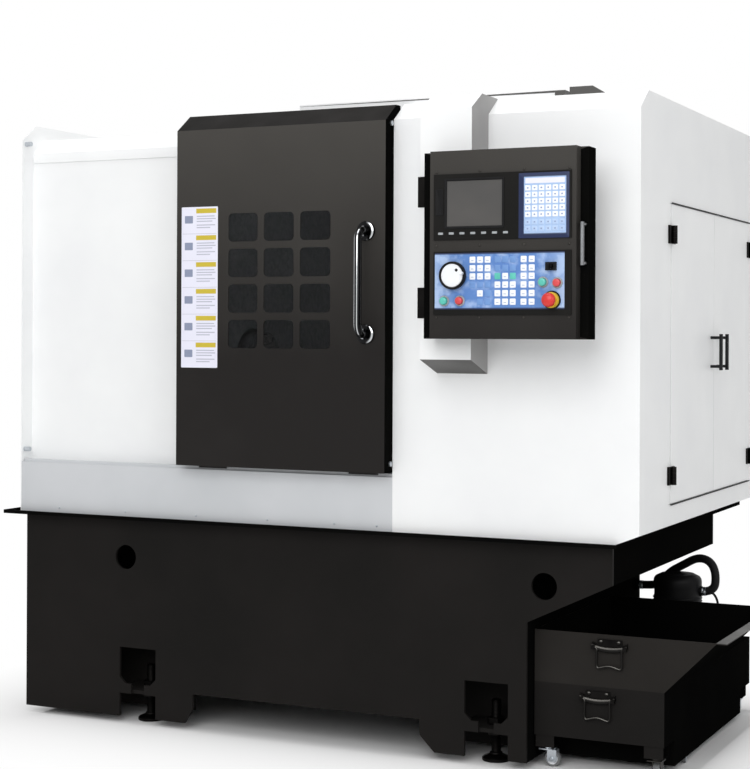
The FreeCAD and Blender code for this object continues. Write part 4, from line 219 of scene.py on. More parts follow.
# ABS of the keys' caps and knobs, smooth from a polished mould.
white_abs = moulded("white_abs", "#F3F5F8", "#ECEFF3", 0.32, 0.0008, 0.00001)
green_abs = moulded("green_abs", "#5CC3B4", "#50B8A8", 0.3, 0.0008, 0.00001)
red_abs = moulded("red_abs", "#D5474B", "#C93C40", 0.3, 0.0008, 0.00001)
stop_red_abs = moulded("stop_red_abs", "#D8322C", "#CB2823", 0.3, 0.0008, 0.00001)
yellow_abs = moulded("yellow_abs", "#E8C53A", "#DDB92F", 0.35, 0.0008, 0.00001)
faint_abs = moulded("faint_abs", "#6F97CF", "#658DC7", 0.34, 0.0008, 0.00001)
pale_blue_abs = moulded("pale_blue_abs", "#B7CDEB", "#ADC4E6", 0.34, 0.0008, 0.00001)
# Glass-filled polyamide of rings, bezels and module cases: matt, with a fine spark-eroded grain.
black_polyamide = moulded("black_polyamide", "#171718", "#121213", 0.5, 0.0009, 0.00005, shine=0.12)
grey_polyamide = moulded("grey_polyamide", "#9FA3A6", "#95999C", 0.42, 0.0009, 0.00004)
# Nitrile rubber of the hose, the belt and the cable's jacket: matt, with a faint bloom.
nitrile_rubber = moulded("nitrile_rubber", "#0F0F10", "#141415", 0.62, 0.0012, 0.00006, 0.03, 0.15)
# Thermoplastic rubber of the caster tyres: dark grey, matt.
caster_rubber = moulded("caster_rubber", "#6C6D6E", "#606162", 0.6, 0.001, 0.00005, 0.1)


def steel_with_painted_highlight(name):
    """Oil-blackened steel on the drop handles with a painted highlight: its colour is pale on the upper side
    and black below, by how far its surface faces up.
    """
    material, tree, place = start(name)
    facing = add(tree, "ShaderNodeNewGeometry").outputs["Normal"]
    upward = add(tree, "ShaderNodeSeparateXYZ", links={0: facing}).outputs["Z"]
    painted_highlight_range = {"From Min": 0.05, "From Max": 0.75}
    share = add(tree, "ShaderNodeMapRange", painted_highlight_range, {"Value": upward}).outputs[0]
    tones = {"data_type": "RGBA", 6: linear("#232221"), 7: linear("#75736F")}
    tone = add(tree, "ShaderNodeMix", tones, {0: share}).outputs[2]
    grain = lumps(tree, place, 0.0012, 3.0)
    return finish(material, {"Metallic": 1.0}, {"Base Color": tone}, grain, 0.00003, 0.3, (0.24, 0.38))


# The door handle's painted reflection: upright bright and dark bands, from its left side at 0 to its right
# side at 1.
PAINTED_REFLECTION_BANDS = (
    (0.0, "#8E9092"),
    (0.1, "#E6E8EA"),
    (0.24, "#DDE0E2"),
    (0.3, "#2C2C2D"),
    (0.52, "#1E1E1F"),
    (0.58, "#B9BBBD"),
    (0.64, "#D3D5D7"),
    (0.7, "#242425"),
    (0.92, "#1A1A1B"),
    (1.0, "#3A3A3B"),
)


def chromium_with_painted_reflection(name):
    """Mirror chromium on the door handle with a painted reflection: its colour holds the bright and dark
    upright bands that it shows in a workshop, by how far its surface faces right."""
    material, tree, place = start(name)
    facing = add(tree, "ShaderNodeNewGeometry").outputs["Normal"]
    sideways = add(tree, "ShaderNodeSeparateXYZ", links={0: facing}).outputs["X"]
    both_sides = {"From Min": -1.0, "From Max": 1.0}
    share = add(tree, "ShaderNodeMapRange", both_sides, {"Value": sideways}).outputs[0]
    bands = add(tree, "ShaderNodeValToRGB", None, {0: share})
    stops = bands.color_ramp.elements
    for position, _ in PAINTED_REFLECTION_BANDS[1:-1]:
        stops.new(position)
    for stop, (_, tone) in zip(stops, PAINTED_REFLECTION_BANDS):
        stop.color = linear(tone)
    gloss = drift(tree, place, 0.02, 0.08, 0.16)
    return finish(material, {"Metallic": 1.0}, {"Base Color": bands.outputs[0], "Roughness": gloss})


def lacquer_with_painted_shade(name, low_colour, high_colour, low, high):
    """Two-part lacquer on the door and the control box: a warm dark grey with a soft shine. Its colour goes
    from the low one to the high one between two heights in metres, a little unevenly: painted shade, darker
    low down and lighter higher up."""
    material, tree, place = start(name)
    height = add(tree, "ShaderNodeSeparateXYZ", links={0: place}).outputs["Z"]
    rise = add(tree, "ShaderNodeMapRange", {"From Min": low, "From Max": high}, {"Value": height}).outputs[0]
    clouds = drift(tree, place, 0.35, -0.06, 0.06, 3.0)
    share = add(tree, "ShaderNodeMath", {"operation": "ADD"}, {0: rise, 1: clouds}).outputs[0]
    tones = {"data_type": "RGBA", 6: linear(low_colour), 7: linear(high_colour)}
    paint = add(tree, "ShaderNodeMix", tones, {0: share}).outputs[2]
    gloss = drift(tree, place, 0.09, 0.36, 0.46)
    links = {"Base Color": paint, "Roughness": gloss}
    return finish(material, {"Specular IOR Level": 0.1}, links, lumps(tree, place, 0.003, 3.0), 0.00004)


def galvanised(name):
    """Hot-dip galvanised sheet: flat zinc crystals about 12 mm wide, each with its own grey and gloss."""
    material, tree, place = start(name)
    cells = add(tree, "ShaderNodeTexVoronoi", {"Scale": 1 / 0.012}, {"Vector": place})
    grey = add(tree, "ShaderNodeSeparateColor", links={0: cells.outputs["Color"]}).outputs[0]
    tones = {"data_type": "RGBA", 6: linear("#A9ADB0"), 7: linear("#C3C7CA")}
    tone = add(tree, "ShaderNodeMix", tones, {0: grey}).outputs[2]
    gloss = add(tree, "ShaderNodeMapRange", {"To Min": 0.36, "To Max": 0.52}, {"Value": grey}).outputs[0]
    return finish(material, {"Metallic": 0.85}, {"Base Color": tone, "Roughness": gloss})


def tinted_pane(name):
    """Laminated polycarbonate with a grey tint: some of the lit work space shows, and it mirrors a little."""
    material, tree, place = start(name)
    smear = drift(tree, place, 0.12, 0.0, 0.03, 3.0)
    settings = {"Base Color": linear("#A3A09C"), "IOR": 1.12, "Transmission Weight": 1.0}
    return finish(material, settings, {"Roughness": smear})


def display_glass(name):
    """Etched glass over a grey liquid-crystal display that is switched off."""
    material, tree, place = start(name)
    tone = two_shades(tree, place, 0.15, "#545250", "#4B4A49")
    sparkle = drift(tree, place, 0.0006, 0.3, 0.4, 1.0)
    settings = {"Coat Weight": 0.1, "Coat Roughness": 0.2, "Specular IOR Level": 0.2}
    return finish(material, settings, {"Base Color": tone, "Roughness": sparkle})


def printed_film(name, middle, ends, edge, left, right, low, high):
    """Polyester overlay film printed from behind: its colour fades to paler ends, with a haze of soft clouds,
    between dark upper and lower edges. Each fade runs between two shares of the film's half size."""
    material, tree, place = start(name)
    parts = add(tree, "ShaderNodeSeparateXYZ", links={0: place})
    shares = []
    for socket, first, last, inner, outer in (("X", left, right, 0.55, 1.02), ("Z", low, high, 0.93, 0.97)):
        centre = {"operation": "SUBTRACT", 1: (first + last) / 2}
        off = add(tree, "ShaderNodeMath", centre, {0: parts.outputs[socket]}).outputs[0]
        away = add(tree, "ShaderNodeMath", {"operation": "ABSOLUTE"}, {0: off}).outputs[0]
        half = (last - first) / 2
        reach = {"From Min": half * inner, "From Max": half * outer}
        shares.append(add(tree, "ShaderNodeMapRange", reach, {"Value": away}).outputs[0])
    clouds = {"From Min": 0.42, "From Max": 0.7, "To Min": -0.25, "To Max": 0.75}
    haze = add(tree, "ShaderNodeMapRange", clouds, {"Value": lumps(tree, place, 0.035, 4.0)}).outputs[0]
    both = {"operation": "ADD", "use_clamp": True}
    paler = add(tree, "ShaderNodeMath", both, {0: shares[0], 1: haze}).outputs[0]
    tones = {"data_type": "RGBA", 6: linear(middle), 7: linear(ends)}
    print_tone = add(tree, "ShaderNodeMix", tones, {0: paler}).outputs[2]
    framed = {"data_type": "RGBA", 7: linear(edge)}
    tone = add(tree, "ShaderNodeMix", framed, {0: shares[1], 6: print_tone}).outputs[2]
    skin = lumps(tree, place, 0.0007, 1.0)
    return finish(material, {"Specular IOR Level": 0.3}, {"Base Color": tone}, skin, 0.00002, 0.3, (0.4, 0.5))


def printed_vinyl(name, colour, shade):
    """Satin self-adhesive vinyl with a screen print: an even colour, whose ink varies in spots of 1 mm."""
    material, tree, place = start(name)
    tone = two_shades(tree, place, 0.001, colour, shade)
    gloss = drift(tree, place, 0.02, 0.38, 0.5)
    return finish(material, {"Specular IOR Level": 0.35}, {"Base Color": tone, "Roughness": gloss})


def lit_diffuser(name):
    """Opal acrylic over light-emitting diodes 20 mm apart: a cool glow, a little uneven between them."""
    material, tree, place = start(name)
    level = drift(tree, place, 0.02, 500.0, 640.0)
    glow = add(tree, "ShaderNodeEmission", {"Color": linear("#F2F6FF")}, {"Strength": level})
    add(tree, "ShaderNodeOutputMaterial", None, {"Surface": glow.outputs[0]})
    return material


# Lacquer with painted shade: darker low down, lighter towards the top.
graphite_lacquer = lacquer_with_painted_shade("graphite_lacquer", "#201E1D", "#454340", 1.2, 2.0)
# Steel with a painted highlight on its upper side.
drop_handle_steel = steel_with_painted_highlight("drop_handle_steel")
# Chromium with a painted reflection in its colour.
chromium_plate = chromium_with_painted_reflection("chromium_plate")
galvanised_sheet = galvanised("galvanised_sheet")
smoked_polycarbonate = tinted_pane("smoked_polycarbonate")
etched_display_glass = display_glass("etched_display_glass")
operator_overlay_film = printed_film(
    "operator_overlay_film", "#5B83C2", "#A9C0E4", "#26304F", 0.461, 0.851, 1.359, 1.519
)
keypad_overlay_film = printed_film(
    "keypad_overlay_film", "#A9C3E6", "#9DB8DF", "#2A3350", 0.731, 0.855, 1.566, 1.732
)
# Vinyl of the door's strip of notes, and prints on the keys and round the keypad.
label_vinyl = printed_vinyl("label_vinyl", "#E9E9F6", "#E2E2F0")
yellow_vinyl = printed_vinyl("yellow_vinyl", "#CDB83E", "#C4AF36")
grey_vinyl = printed_vinyl("grey_vinyl", "#B9BAC9", "#AFB0C0")
slate_vinyl = printed_vinyl("slate_vinyl", "#8E96AE", "#858DA5")
faded_blue_print = printed_vinyl("faded_blue_print", "#8FA0C4", "#8494B8")
navy_vinyl = printed_vinyl("navy_vinyl", "#1C2A52", "#172345")
diode_diffuser = lit_diffuser("diode_diffuser")


# ------------------------------------------------------------------ the CAD nodes' finishes


def dress(name, base, *regions):
    """Gives a CAD node its base finish, and others to the faces with their middle in a region's box."""
    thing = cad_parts[name]
    mesh = thing.data
    for slot in thing.material_slots:
        slot.material = base
    if not thing.material_slots:
        mesh.materials.append(base)
    if not regions:
        return
    middles = np.zeros(len(mesh.polygons) * 3)
    mesh.polygons.foreach_get("center", middles)
    middles = middles.reshape(-1, 3)
    index = np.zeros(len(mesh.polygons), np.int32)
    for material, low, high in regions:
        mesh.materials.append(material)
        inside = np.all((middles >= spot(*low)) & (middles <= spot(*high)), axis=1)
        index[inside] = len(mesh.materials) - 1
    mesh.polygons.foreach_set("material_index", index)


# Nodes with one finish all over.
for finish_of_all, names in (
    (charcoal_powder_coat, ("base_front_plate", "base_rear_plate", "base_cross_members")),
    (grey_casting_enamel, ("headstock", "saddle", "x_slide", "turret_head", "tailstock_body")),
    (ground_steel, ("spindle_bearings", "chuck_jaw_1", "chuck_jaw_2", "chuck_jaw_3", "turret_disc")),
    (turned_steel, ("spindle", "chuck_body", "motor_pulley", "tailstock_quill")),
    (black_motor_enamel, ("spindle_motor", "coolant_pump")),
    (white_powder_coat, ("left_front_panel", "right_front_panel", "rear_panel")),
    (galvanised_sheet, ("inner_walls", "cabinet_plate")),
    (green_abs, ("start_button", "power_on_button")),
    (red_abs, ("feed_hold_button", "power_off_button")),
    (drop_handle_steel, ("tank_bail", "tray_bail")),
    (caster_rubber, ("caster_wheel_1", "caster_wheel_2", "caster_wheel_3", "caster_wheel_4")),
):
    for name in names:
        dress(name, finish_of_all)
dress("leveling_feet", dull_black_steel)
dress("drive_belt", nitrile_rubber)
dress("lower_front_panel", silver_lacquer)
dress("cabinet_modules", grey_polyamide)
dress("door_window", smoked_polycarbonate)
dress("door_handle", chromium_plate)
dress("display_screen", etched_display_glass)
dress("estop_button", stop_red_abs)
dress("handwheel", white_abs)
dress("key_switch", zinc_plate)

# Nodes with more than one finish: each region is a box between two points that spot takes.
# The drip tray's edges in black are a painted shadow under its lip; its top face is charcoal.
dress("drip_tray", painted_shade_black_coat, (charcoal_powder_coat, (-60, -27, 687), (2120, 1449, 689)))
# The right side plate's black is painted shade.
dress(
    "base_side_plates",
    charcoal_powder_coat,
    (nitrile_rubber, (1822.5, 1000, 310), (1840, 1150, 437)),
    (painted_shade_black_coat, (1821, 31, 22), (2090, 1156, 677)),
)
dress("bed_casting", grey_casting_enamel, (ground_steel, (655, 479, 820), (1805, 790, 1177)))
dress("left_end_panel", white_powder_coat, (zinc_plate, (4, 0, 880), (26, 30, 1945)))
dress(
    "roof_panel",
    white_powder_coat,
    (slate_coat_and_painted_light, (1926, 79, 1998.5), (2040, 91, 2023)),
    (slate_coat_and_painted_light, (1880, 79, 1998.5), (1914, 131, 2015)),
)
# The column's right side in mid grey and its underside in dark grey are painted shade.
dress(
    "control_column",
    white_powder_coat,
    (painted_shade_grey_coat, (1696, -130.5, 1170), (1703, 80, 2000)),
    (slate_coat_and_painted_light, (1538, -130.5, 1170), (1703, 80, 1232)),
    (dull_black_steel, (1532, -147, 1334), (1594, -131.05, 1426)),
    (dull_black_steel, (1532, -147, 1660), (1594, -131.05, 1752)),
)
for name in ("cabinet_door_front", "cabinet_door_rear"):
    dress(
        name,
        white_powder_coat,
        (black_chromium, (2173, 760, 1170), (2214, 890, 1300)),
        (dull_black_steel, (2172.5, 280, 780), (2214, 350, 1690)),
        (dull_black_steel, (2172.5, 1268, 780), (2214, 1345, 1690)),
    )
dress(
    "right_end_panel",
    white_powder_coat,
    (dull_black_steel, (2170.2, 280, 830), (2214, 330, 1625)),
    (dull_black_steel, (2170.2, 1299, 830), (2214, 1345, 1625)),
)
# The door's top chamfer in charcoal and its right side in black are painted shade.
dress(
    "front_door",
    graphite_lacquer,
    (charcoal_powder_coat, (640, -54.9, 1934), (1400, 60, 1995)),
    (painted_shade_black_coat, (1389, -54.9, 860), (1390.2, 60, 1995)),
    (zinc_plate, (1390.2, -30, 880), (1400, 0, 1945)),
)
# The control box's left and right sides in black are painted shade.
dress(
    "control_box",
    graphite_lacquer,
    (painted_shade_black_coat, (1580, -242.9, 1270), (1622, -147, 1815)),
    (painted_shade_black_coat, (2061, -207.5, 1270), (2085, -147, 1815)),
    (satin_nickel, (2061, -242, 1470), (2120, -207.6, 1610)),
    (dull_black_steel, (1578, -146.95, 1364), (1632, -131, 1396)),
    (dull_black_steel, (1578, -146.95, 1690), (1632, -131, 1721)),
)
dress(
    "control_panels",
    unit_enamel,
    (keypad_overlay_film, (1907, -249, 1565), (2033, -247.02, 1733)),
    (operator_overlay_film, (1637, -249, 1358), (2029, -247.02, 1520)),
    (yellow_abs, (1965, -265, 1360), (2016, -248.05, 1408)),
    (black_polyamide, (1974, -262, 1466), (2006, -248.05, 1490)),
)
# The tank's sides in black are painted shade, and so is the front right caster's blackened fork.
dress(
    "coolant_tank",
    charcoal_powder_coat,
    (painted_shade_black_coat, (1825, 82, 15), (2224, 1131, 257)),
    (zinc_plate, (1826, 79, 14), (1900, 160, 60.5)),
    (blackened_steel_and_painted_shade, (2150, 79, 14), (2224, 160, 60.5)),
    (zinc_plate, (1826, 1010, 14), (2224, 1130, 60.5)),
    (dull_black_steel, (1965, 60, 205), (2085, 78.5, 245)),
)
# The chip tray's sides in black are painted shade, and its flange's top in dark grey is a painted highlight.
dress(
    "chip_tray",
    paler_charcoal_coat,
    (slate_coat_and_painted_light, (2225, 79, 409.2), (2410, 820, 412)),
    (painted_shade_black_coat, (1825, 80, 256), (2410, 820, 409)),
    (dull_black_steel, (2000, 60, 360), (2120, 78.5, 399)),
)


# ------------------------------------------------------------------ surfaces

# The world axes that a local shape's axes are laid along: across, up and out of the face that it stands on.
FACES = {
    "front": np.array([X, Z, -Y]),
    "rear": np.array([-X, Z, Y]),
    "right": np.array([Y, Z, X]),
    "left": np.array([-Y, Z, -X]),
    "top": np.array([X, Y, Z]),
}


def quads(rows, columns, closed):
    """The four-sided faces of a grid of points; closed joins the last point of each row to its first."""
    row, column = np.meshgrid(np.arange(rows - 1), np.arange(columns - (not closed)), indexing="ij")
    here = row * columns + column
    beside = row * columns + (column + 1) % columns
    return np.stack([here, beside, beside + columns, here + columns], axis=-1).reshape(-1, 4)


def turned(profile, sides=48):
    """A turned shape: each (radius, height) of the profile goes once round the third axis."""
    radius, height = np.array(profile, float).T
    angle = np.arange(sides) * 2 * np.pi / sides
    around = np.stack([np.cos(angle), np.sin(angle), 0 * angle], axis=-1)
    points = radius[:, None, None] * around + height[:, None, None] * Z
    return points.reshape(-1, 3), quads(len(radius), sides, True)


def outlined(width, height, corner, steps=6):
    """A rectangle's outline about its middle, each corner a quarter circle: (cos, sin) times its radius."""
    quarter = np.linspace(0, np.pi / 2, steps)
    angle = (np.arange(4)[:, None] * np.pi / 2 + quarter).ravel()
    across = np.repeat([1, -1, -1, 1], steps) * (width / 2 - corner) + corner * np.cos(angle)
    up = np.repeat([1, 1, -1, -1], steps) * (height / 2 - corner) + corner * np.sin(angle)
    return np.stack([across, up], axis=-1)


# The smallest corner radius of a plate's ring, in mm, so that no two of its points meet.
least_corner = 0.3


def plate(width, height, corner, profile, open_middle=False):
    """A plate with round corners: each (inset, level) of the profile is one ring of its outline, and unless
    the middle is open the first and last ring close on it."""
    rings = []
    for inset, level in profile:
        outline = outlined(width - 2 * inset, height - 2 * inset, max(corner - inset, least_corner))
        rings.append(np.column_stack([outline, np.full(len(outline), level)]))
    if not open_middle:
        rings = [0 * rings[0] + profile[0][1] * Z, *rings, 0 * rings[0] + profile[-1][1] * Z]
    return np.concatenate(rings), quads(len(rings), len(rings[0]), True)


def hexagon(across_flats, height, chamfer):
    """A nut's six-sided block: a turned shape of six sides, drawn in at both ends by the chamfer."""
    corner = across_flats / math.sqrt(3)
    shoulder = corner - chamfer
    lower = [(0, 0), (shoulder, 0), (corner, chamfer)]
    return turned([*lower, (corner, height - chamfer), (shoulder, height), (0, height)], 6)


def swept(path, normal, radius, sides=20, flat=1.0):
    """A round bar along a path in one plane: at each point a circle square to the path, flat times as thick
    along the plane's normal, and closed at both ends."""
    path = np.array(path, float)
    ahead = np.gradient(path, axis=0)
    ahead /= np.linalg.norm(ahead, axis=1, keepdims=True)
    across = np.cross(ahead, normal)
    angle = np.arange(sides) * 2 * np.pi / sides
    circle = np.cos(angle)[:, None] * normal * flat + np.sin(angle)[:, None] * across[:, None]
    size = np.broadcast_to(radius, len(path))[:, None, None]
    size = np.concatenate([0 * size[:1], size, 0 * size[:1]])
    centre = np.concatenate([path[:1], path, path[-1:]])[:, None]
    circle = np.concatenate([circle[:1], circle, circle[-1:]])
    return (centre + size * circle).reshape(-1, 3), quads(len(path) + 2, sides, True)


def bend(centre, first, second, radius, steps=12):
    """A quarter turn about a centre: its points go from the first direction to the second."""
    angle = np.linspace(0, np.pi / 2, steps)[:, None]
    return np.array(centre) + radius * (np.cos(angle) * first + np.sin(angle) * second)


def on(face, shape, from_left, back, high):
    """A local shape laid on a face of the machine, in metres."""
    points, faces = shape
    return points @ FACES[face] * MM + spot(from_left, back, high), faces


def piece(name, body, material, *shapes, bevel=0.0, stands_for=(), smooth=35):
    """A mesh of the shapes, with one finish, that rides on a body: doubles merged, faces outwards, and edges
    sharper than smooth, in degrees, kept crisp or rounded by a bevel in mm."""
    sizes = np.cumsum([0] + [len(points) for points, _ in shapes])
    points = np.concatenate([points for points, _ in shapes])
    faces = np.concatenate([faces + first for (_, faces), first in zip(shapes, sizes)])
    mesh = bpy.data.meshes.new(name)
    mesh.from_pydata(points.tolist(), [], faces.tolist())
    work = bmesh.new()
    work.from_mesh(mesh)
    bmesh.ops.remove_doubles(work, verts=work.verts, dist=0.004 * MM)
    bmesh.ops.dissolve_degenerate(work, edges=work.edges, dist=0.002 * MM)
    bmesh.ops.recalc_face_normals(work, faces=work.faces)
    work.to_mesh(mesh)
    work.free()
    mesh.polygons.foreach_set("use_smooth", np.ones(len(mesh.polygons), bool))
    mesh.set_sharp_from_angle(angle=math.radians(smooth))
    mesh.materials.append(material)
    thing = bpy.data.objects.new(name, mesh)
    scene.collection.objects.link(thing)
    if bevel:
        edge = thing.modifiers.new("rounded_edges", "BEVEL")
        edge.width = bevel * MM
        edge.segments = 3
        edge.limit_method = "ANGLE"
        edge.angle_limit = math.radians(smooth)
    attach(thing, body)
    if stands_for:
        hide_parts(*stands_for)
    return thing


# ------------------------------------------------------------------ coolant hose and pump cable


def line(name, points, radius, material, node):
    """A hose or cable on the CAD route: a smooth spline with the route's points as its control points."""
    curve = bpy.data.curves.new(name, "CURVE")
    curve.dimensions = "3D"
    curve.bevel_depth = radius
    curve.bevel_resolution = 6
    curve.resolution_u = 16
    curve.use_fill_caps = True
    run = curve.splines.new("NURBS")
    run.points.add(len(points) - 1)
    for item, place in zip(run.points, points):
        item.co = (*place, 1.0)
    run.use_endpoint_u = True
    run.order_u = 3
    thing = bpy.data.objects.new(name, curve)
    scene.collection.objects.link(thing)
    curve.materials.append(material)
    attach(thing, "cart")
    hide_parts(node)


# The routes run from the pump to the base's right side plate: points in mm from the pump's foot on the tank.
pump_from_left, pump_back, deck = 2028.0, 919.0, 256.0
pump_foot = spot(pump_from_left, pump_back, deck)
hose_route = pump_foot + MM * np.array(
    [
        (84, 0, 176),
        (126, 0, 176),
        (130, 5, 238),
        (108, 15, 277),
        (60, 34, 285),
        (0, 62, 251),
        (-56, 98, 220),
        (-96, 138, 176),
        (-138, 179, 158),
        (-189.7, 179, 158),
    ]
)
cable_route = pump_foot + MM * np.array(
    [
        (31.2, 89.7, 170),
        (64, 89.7, 170),
        (108, 84, 158),
        (122, 80, 108),
        (104, 90, 50),
        (58, 106, 16),
        (-30, 116, 10),
        (-96, 104, 34),
        (-152, 91, 74),
        (-191.7, 91, 74),
    ]
)
# A worm-drive clip round each end of the hose: a band with a rolled edge, and its screw's housing.
band = turned([(14.1, 0), (15.4, 0.3), (15.0, 1.2), (15.0, 10.8), (15.4, 11.7), (14.1, 12)])
housing = plate(14, 9, 2.5, [(0, 0), (0, 5), (1.2, 6.5)])
clips = piece(
    "hose_clips",
    "cart",
    zinc_plate,
    on("right", band, 2114, 919, 432),
    on("left", band, 1856, 1098, 414),
    on("front", housing, 2120, 905, 432),
    on("front", housing, 1850, 1084, 414),
    bevel=0.4,
)
# The cable's glands: a hexagon nut and a rubber sleeve that tapers to the cable over 26 mm.
sleeve = turned([(0, 0), (7.5, 0), (7.5, 3), (6.6, 7), (5.4, 16), (4.6, 26), (4.1, 26), (4.1, 25)], 32)
glands = piece(
    "cable_gland_nuts",
    "cart",
    black_polyamide,
    on("right", hexagon(17, 7, 0.8), 2053.5, 1008.7, 426),
    on("right", hexagon(17, 7, 0.8), 1836.5, 1010, 330),
    bevel=0.4,
)
sleeves = piece(
    "cable_sleeves",
    "cart",
    nitrile_rubber,
    on("right", sleeve, 2060.4, 1008.7, 426),
    on("right", sleeve, 1843.4, 1010, 330),
)
line("coolant_return_hose", hose_route, 0.014, nitrile_rubber, "coolant_hose")
line("pump_supply_cable", cable_route, 0.004, nitrile_rubber, "pump_cable")


# ------------------------------------------------------------------ sliding door

door_face = -55.0
# The handle: a chromium-plated tube of 25 mm with a bend at each end, on two dished roses.
handle_x, handle_low, handle_high, handle_out, handle_bend = 1326.0, 1288.0, 1601.0, -113.0, 30.0
tube_radius = 12.5
handle_path = np.concatenate(
    [
        [spot(handle_x, door_face - 6, handle_low)],
        bend(spot(handle_x, handle_out + handle_bend, handle_low + handle_bend), -Z, -Y, handle_bend * MM),
        bend(spot(handle_x, handle_out + handle_bend, handle_high - handle_bend), -Y, Z, handle_bend * MM),
        [spot(handle_x, door_face - 6, handle_high)],
    ]
)
handle_tube = swept(handle_path, X, tube_radius * MM, 32)
piece("door_handle_tube", "sliding_door", chromium_plate, handle_tube, stands_for=["door_handle"])
rose = turned(
    [(0, 0), (29, 0), (30, 1), (30, 5), (28.5, 7.5), (25, 9), (19, 9.4), (15, 8.6), (13, 7.6), (0, 7.6)]
)
piece(
    "door_handle_roses",
    "sliding_door",
    chromium_plate,
    on("front", rose, handle_x, door_face, handle_low),
    on("front", rose, handle_x, door_face, handle_high),
)

# The strip of notes beside the windows: six plain sections, each with a yellow bar, grey lines and a field.
strip_left, strip_width, strip_low, strip_height, section_count = 670.0, 134.0, 1179.0, 512.0, 6
strip_middle = strip_left + strip_width / 2
strip_top = strip_low + strip_height
section_tops = [strip_top - strip_height / section_count * count for count in range(section_count)]
strip = plate(strip_width, strip_height, 3, [(0, 0), (0, 0.3), (0.1, 0.4)])
piece(
    "door_notes_strip",
    "sliding_door",
    label_vinyl,
    on("front", strip, strip_middle, door_face, strip_low + strip_height / 2),
)


def printed(width, height, corner=1.0):
    """A printed field: a film of 0.08 mm whose face stands 0.1 mm proud of the strip."""
    return plate(width, height, corner, [(0, 0.42), (0.05, 0.5)])


# Each line of a section: its length, and how far it is below the section's top.
note_lines = ((66, 30), (70, 38), (58, 46), (68, 58), (50, 66))
for label, finish_of_notes, fields in (
    ("bars", yellow_vinyl, [(printed(74, 15), strip_left + 91, top - 13) for top in section_tops]),
    (
        "lines",
        grey_vinyl,
        [
            (printed(width, 3.2, 0.6), strip_left + 56 + width / 2, top - drop)
            for top in section_tops
            for width, drop in note_lines
        ],
    ),
    ("fields", slate_vinyl, [(printed(30, 24, 2), strip_left + 27, top - 40) for top in section_tops]),
    ("rules", grey_vinyl, [(printed(126, 1.2, 0.4), strip_middle, top) for top in section_tops[1:]]),
):
    shapes = [on("front", field, from_left, door_face, high) for field, from_left, high in fields]
    piece(f"door_notes_{label}", "sliding_door", finish_of_notes, *shapes)


# ------------------------------------------------------------------ control box

# Its shell's, its units' and their films' front faces, as places behind the enclosure's front face: they are
# negative, since the box stands in front of it.
shell_face, unit_face, film_face = -243.0, -247.0, -248.0

# The operator panel's keys, row by row from the top: w white, f faint, g green and . none.
key_columns = (1754, 1777, 1800, 1830, 1853, 1876, 1908, 1932)
key_rows = {
    1499: "wwwfffww",
    1475: "wwwfffww",
    1452: "wwwgwgww",
    1428: "fffwwwww",
    1404: ".wfwwwww",
    1380: ".ffwwwww",
}


def keys_of(kind):
    """The places of the operator panel's keys of one kind, as (from left, up)."""
    return [
        (column, high)
        for high, row in key_rows.items()
        for column, found in zip(key_columns, row)
        if found == kind
    ]


key_cap = plate(17.5, 18, 2.5, [(0, 0), (0, 0.7), (0.4, 1.1), (1.4, 1.35)])
for kind, label, key_finish in (
    ("w", "white", white_abs),
    ("f", "faint", faint_abs),
    ("g", "green", green_abs),
):
    caps = [on("front", key_cap, column, film_face, high) for column, high in keys_of(kind)]
    piece(f"operator_keys_{label}", "swing_box", key_finish, *caps)
# Each white key's mark: a short plain bar in faded print.
key_mark = plate(8, 1.6, 0.5, [(0, 1.3), (0, 1.45)])
marks = [on("front", key_mark, column, film_face, high - 2) for column, high in keys_of("w")]
piece("operator_key_marks", "swing_box", faded_blue_print, *marks)

# The keypad's seven rows of six keys, the lower two in pale blue, each with a plain mark.
pad_columns = [1919.5 + 20.2 * count for count in range(6)]
white_rows, blue_rows = (1697, 1678.5, 1660, 1641.5, 1623), (1602, 1583.5)
pad_cap = plate(16, 14.5, 2, [(0, 0), (0, 0.6), (0.4, 0.9), (1.2, 1.1)])
pad_mark = plate(5, 4, 0.8, [(0, 1.05), (0, 1.2)])
for name, pad_finish, shape, rows in (
    ("keypad_keys_white", white_abs, pad_cap, white_rows),
    ("keypad_keys_blue", pale_blue_abs, pad_cap, blue_rows),
    ("keypad_key_marks", faded_blue_print, pad_mark, white_rows + blue_rows),
):
    shapes = [on("front", shape, column, film_face, high) for high in rows for column in pad_columns]
    piece(name, "swing_box", pad_finish, *shapes)
# The keypad's dark printed margin, under its film.
piece(
    "keypad_margin",
    "swing_box",
    navy_vinyl,
    on("front", plate(149, 182, 2, [(0, 0), (0, 0.25), (0.1, 0.3)]), 1966.5, unit_face, 1648),
)
piece(
    "keypad_header",
    "swing_box",
    label_vinyl,
    on("front", plate(116, 15, 1.5, [(0, 0), (0, 0.25)]), 1970, film_face, 1717),
)

# The display's frame, its row of soft keys and the cover over its data socket.
piece(
    "display_frame",
    "swing_box",
    black_polyamide,
    on(
        "front",
        plate(182, 143, 5, [(0, 0), (0, 1.6), (0.8, 2.4), (5, 2.2), (7, 0.4), (7, 0)], open_middle=True),
        1758,
        unit_face,
        1659.5,
    ),
)
soft_key = plate(15, 6.5, 1.5, [(0, 0), (0, 0.8), (0.4, 1.2)])
soft_keys = [on("front", soft_key, 1655 + 33 * count, unit_face, 1575) for count in range(7)]
piece("display_soft_keys", "swing_box", grey_polyamide, *soft_keys)
piece(
    "data_socket_cover",
    "swing_box",
    black_polyamide,
    on("front", plate(24, 75, 3, [(0, 0), (0, 1.4), (0.6, 2.0), (4, 2.0), (5, 1.6)]), 1651, unit_face, 1664),
)

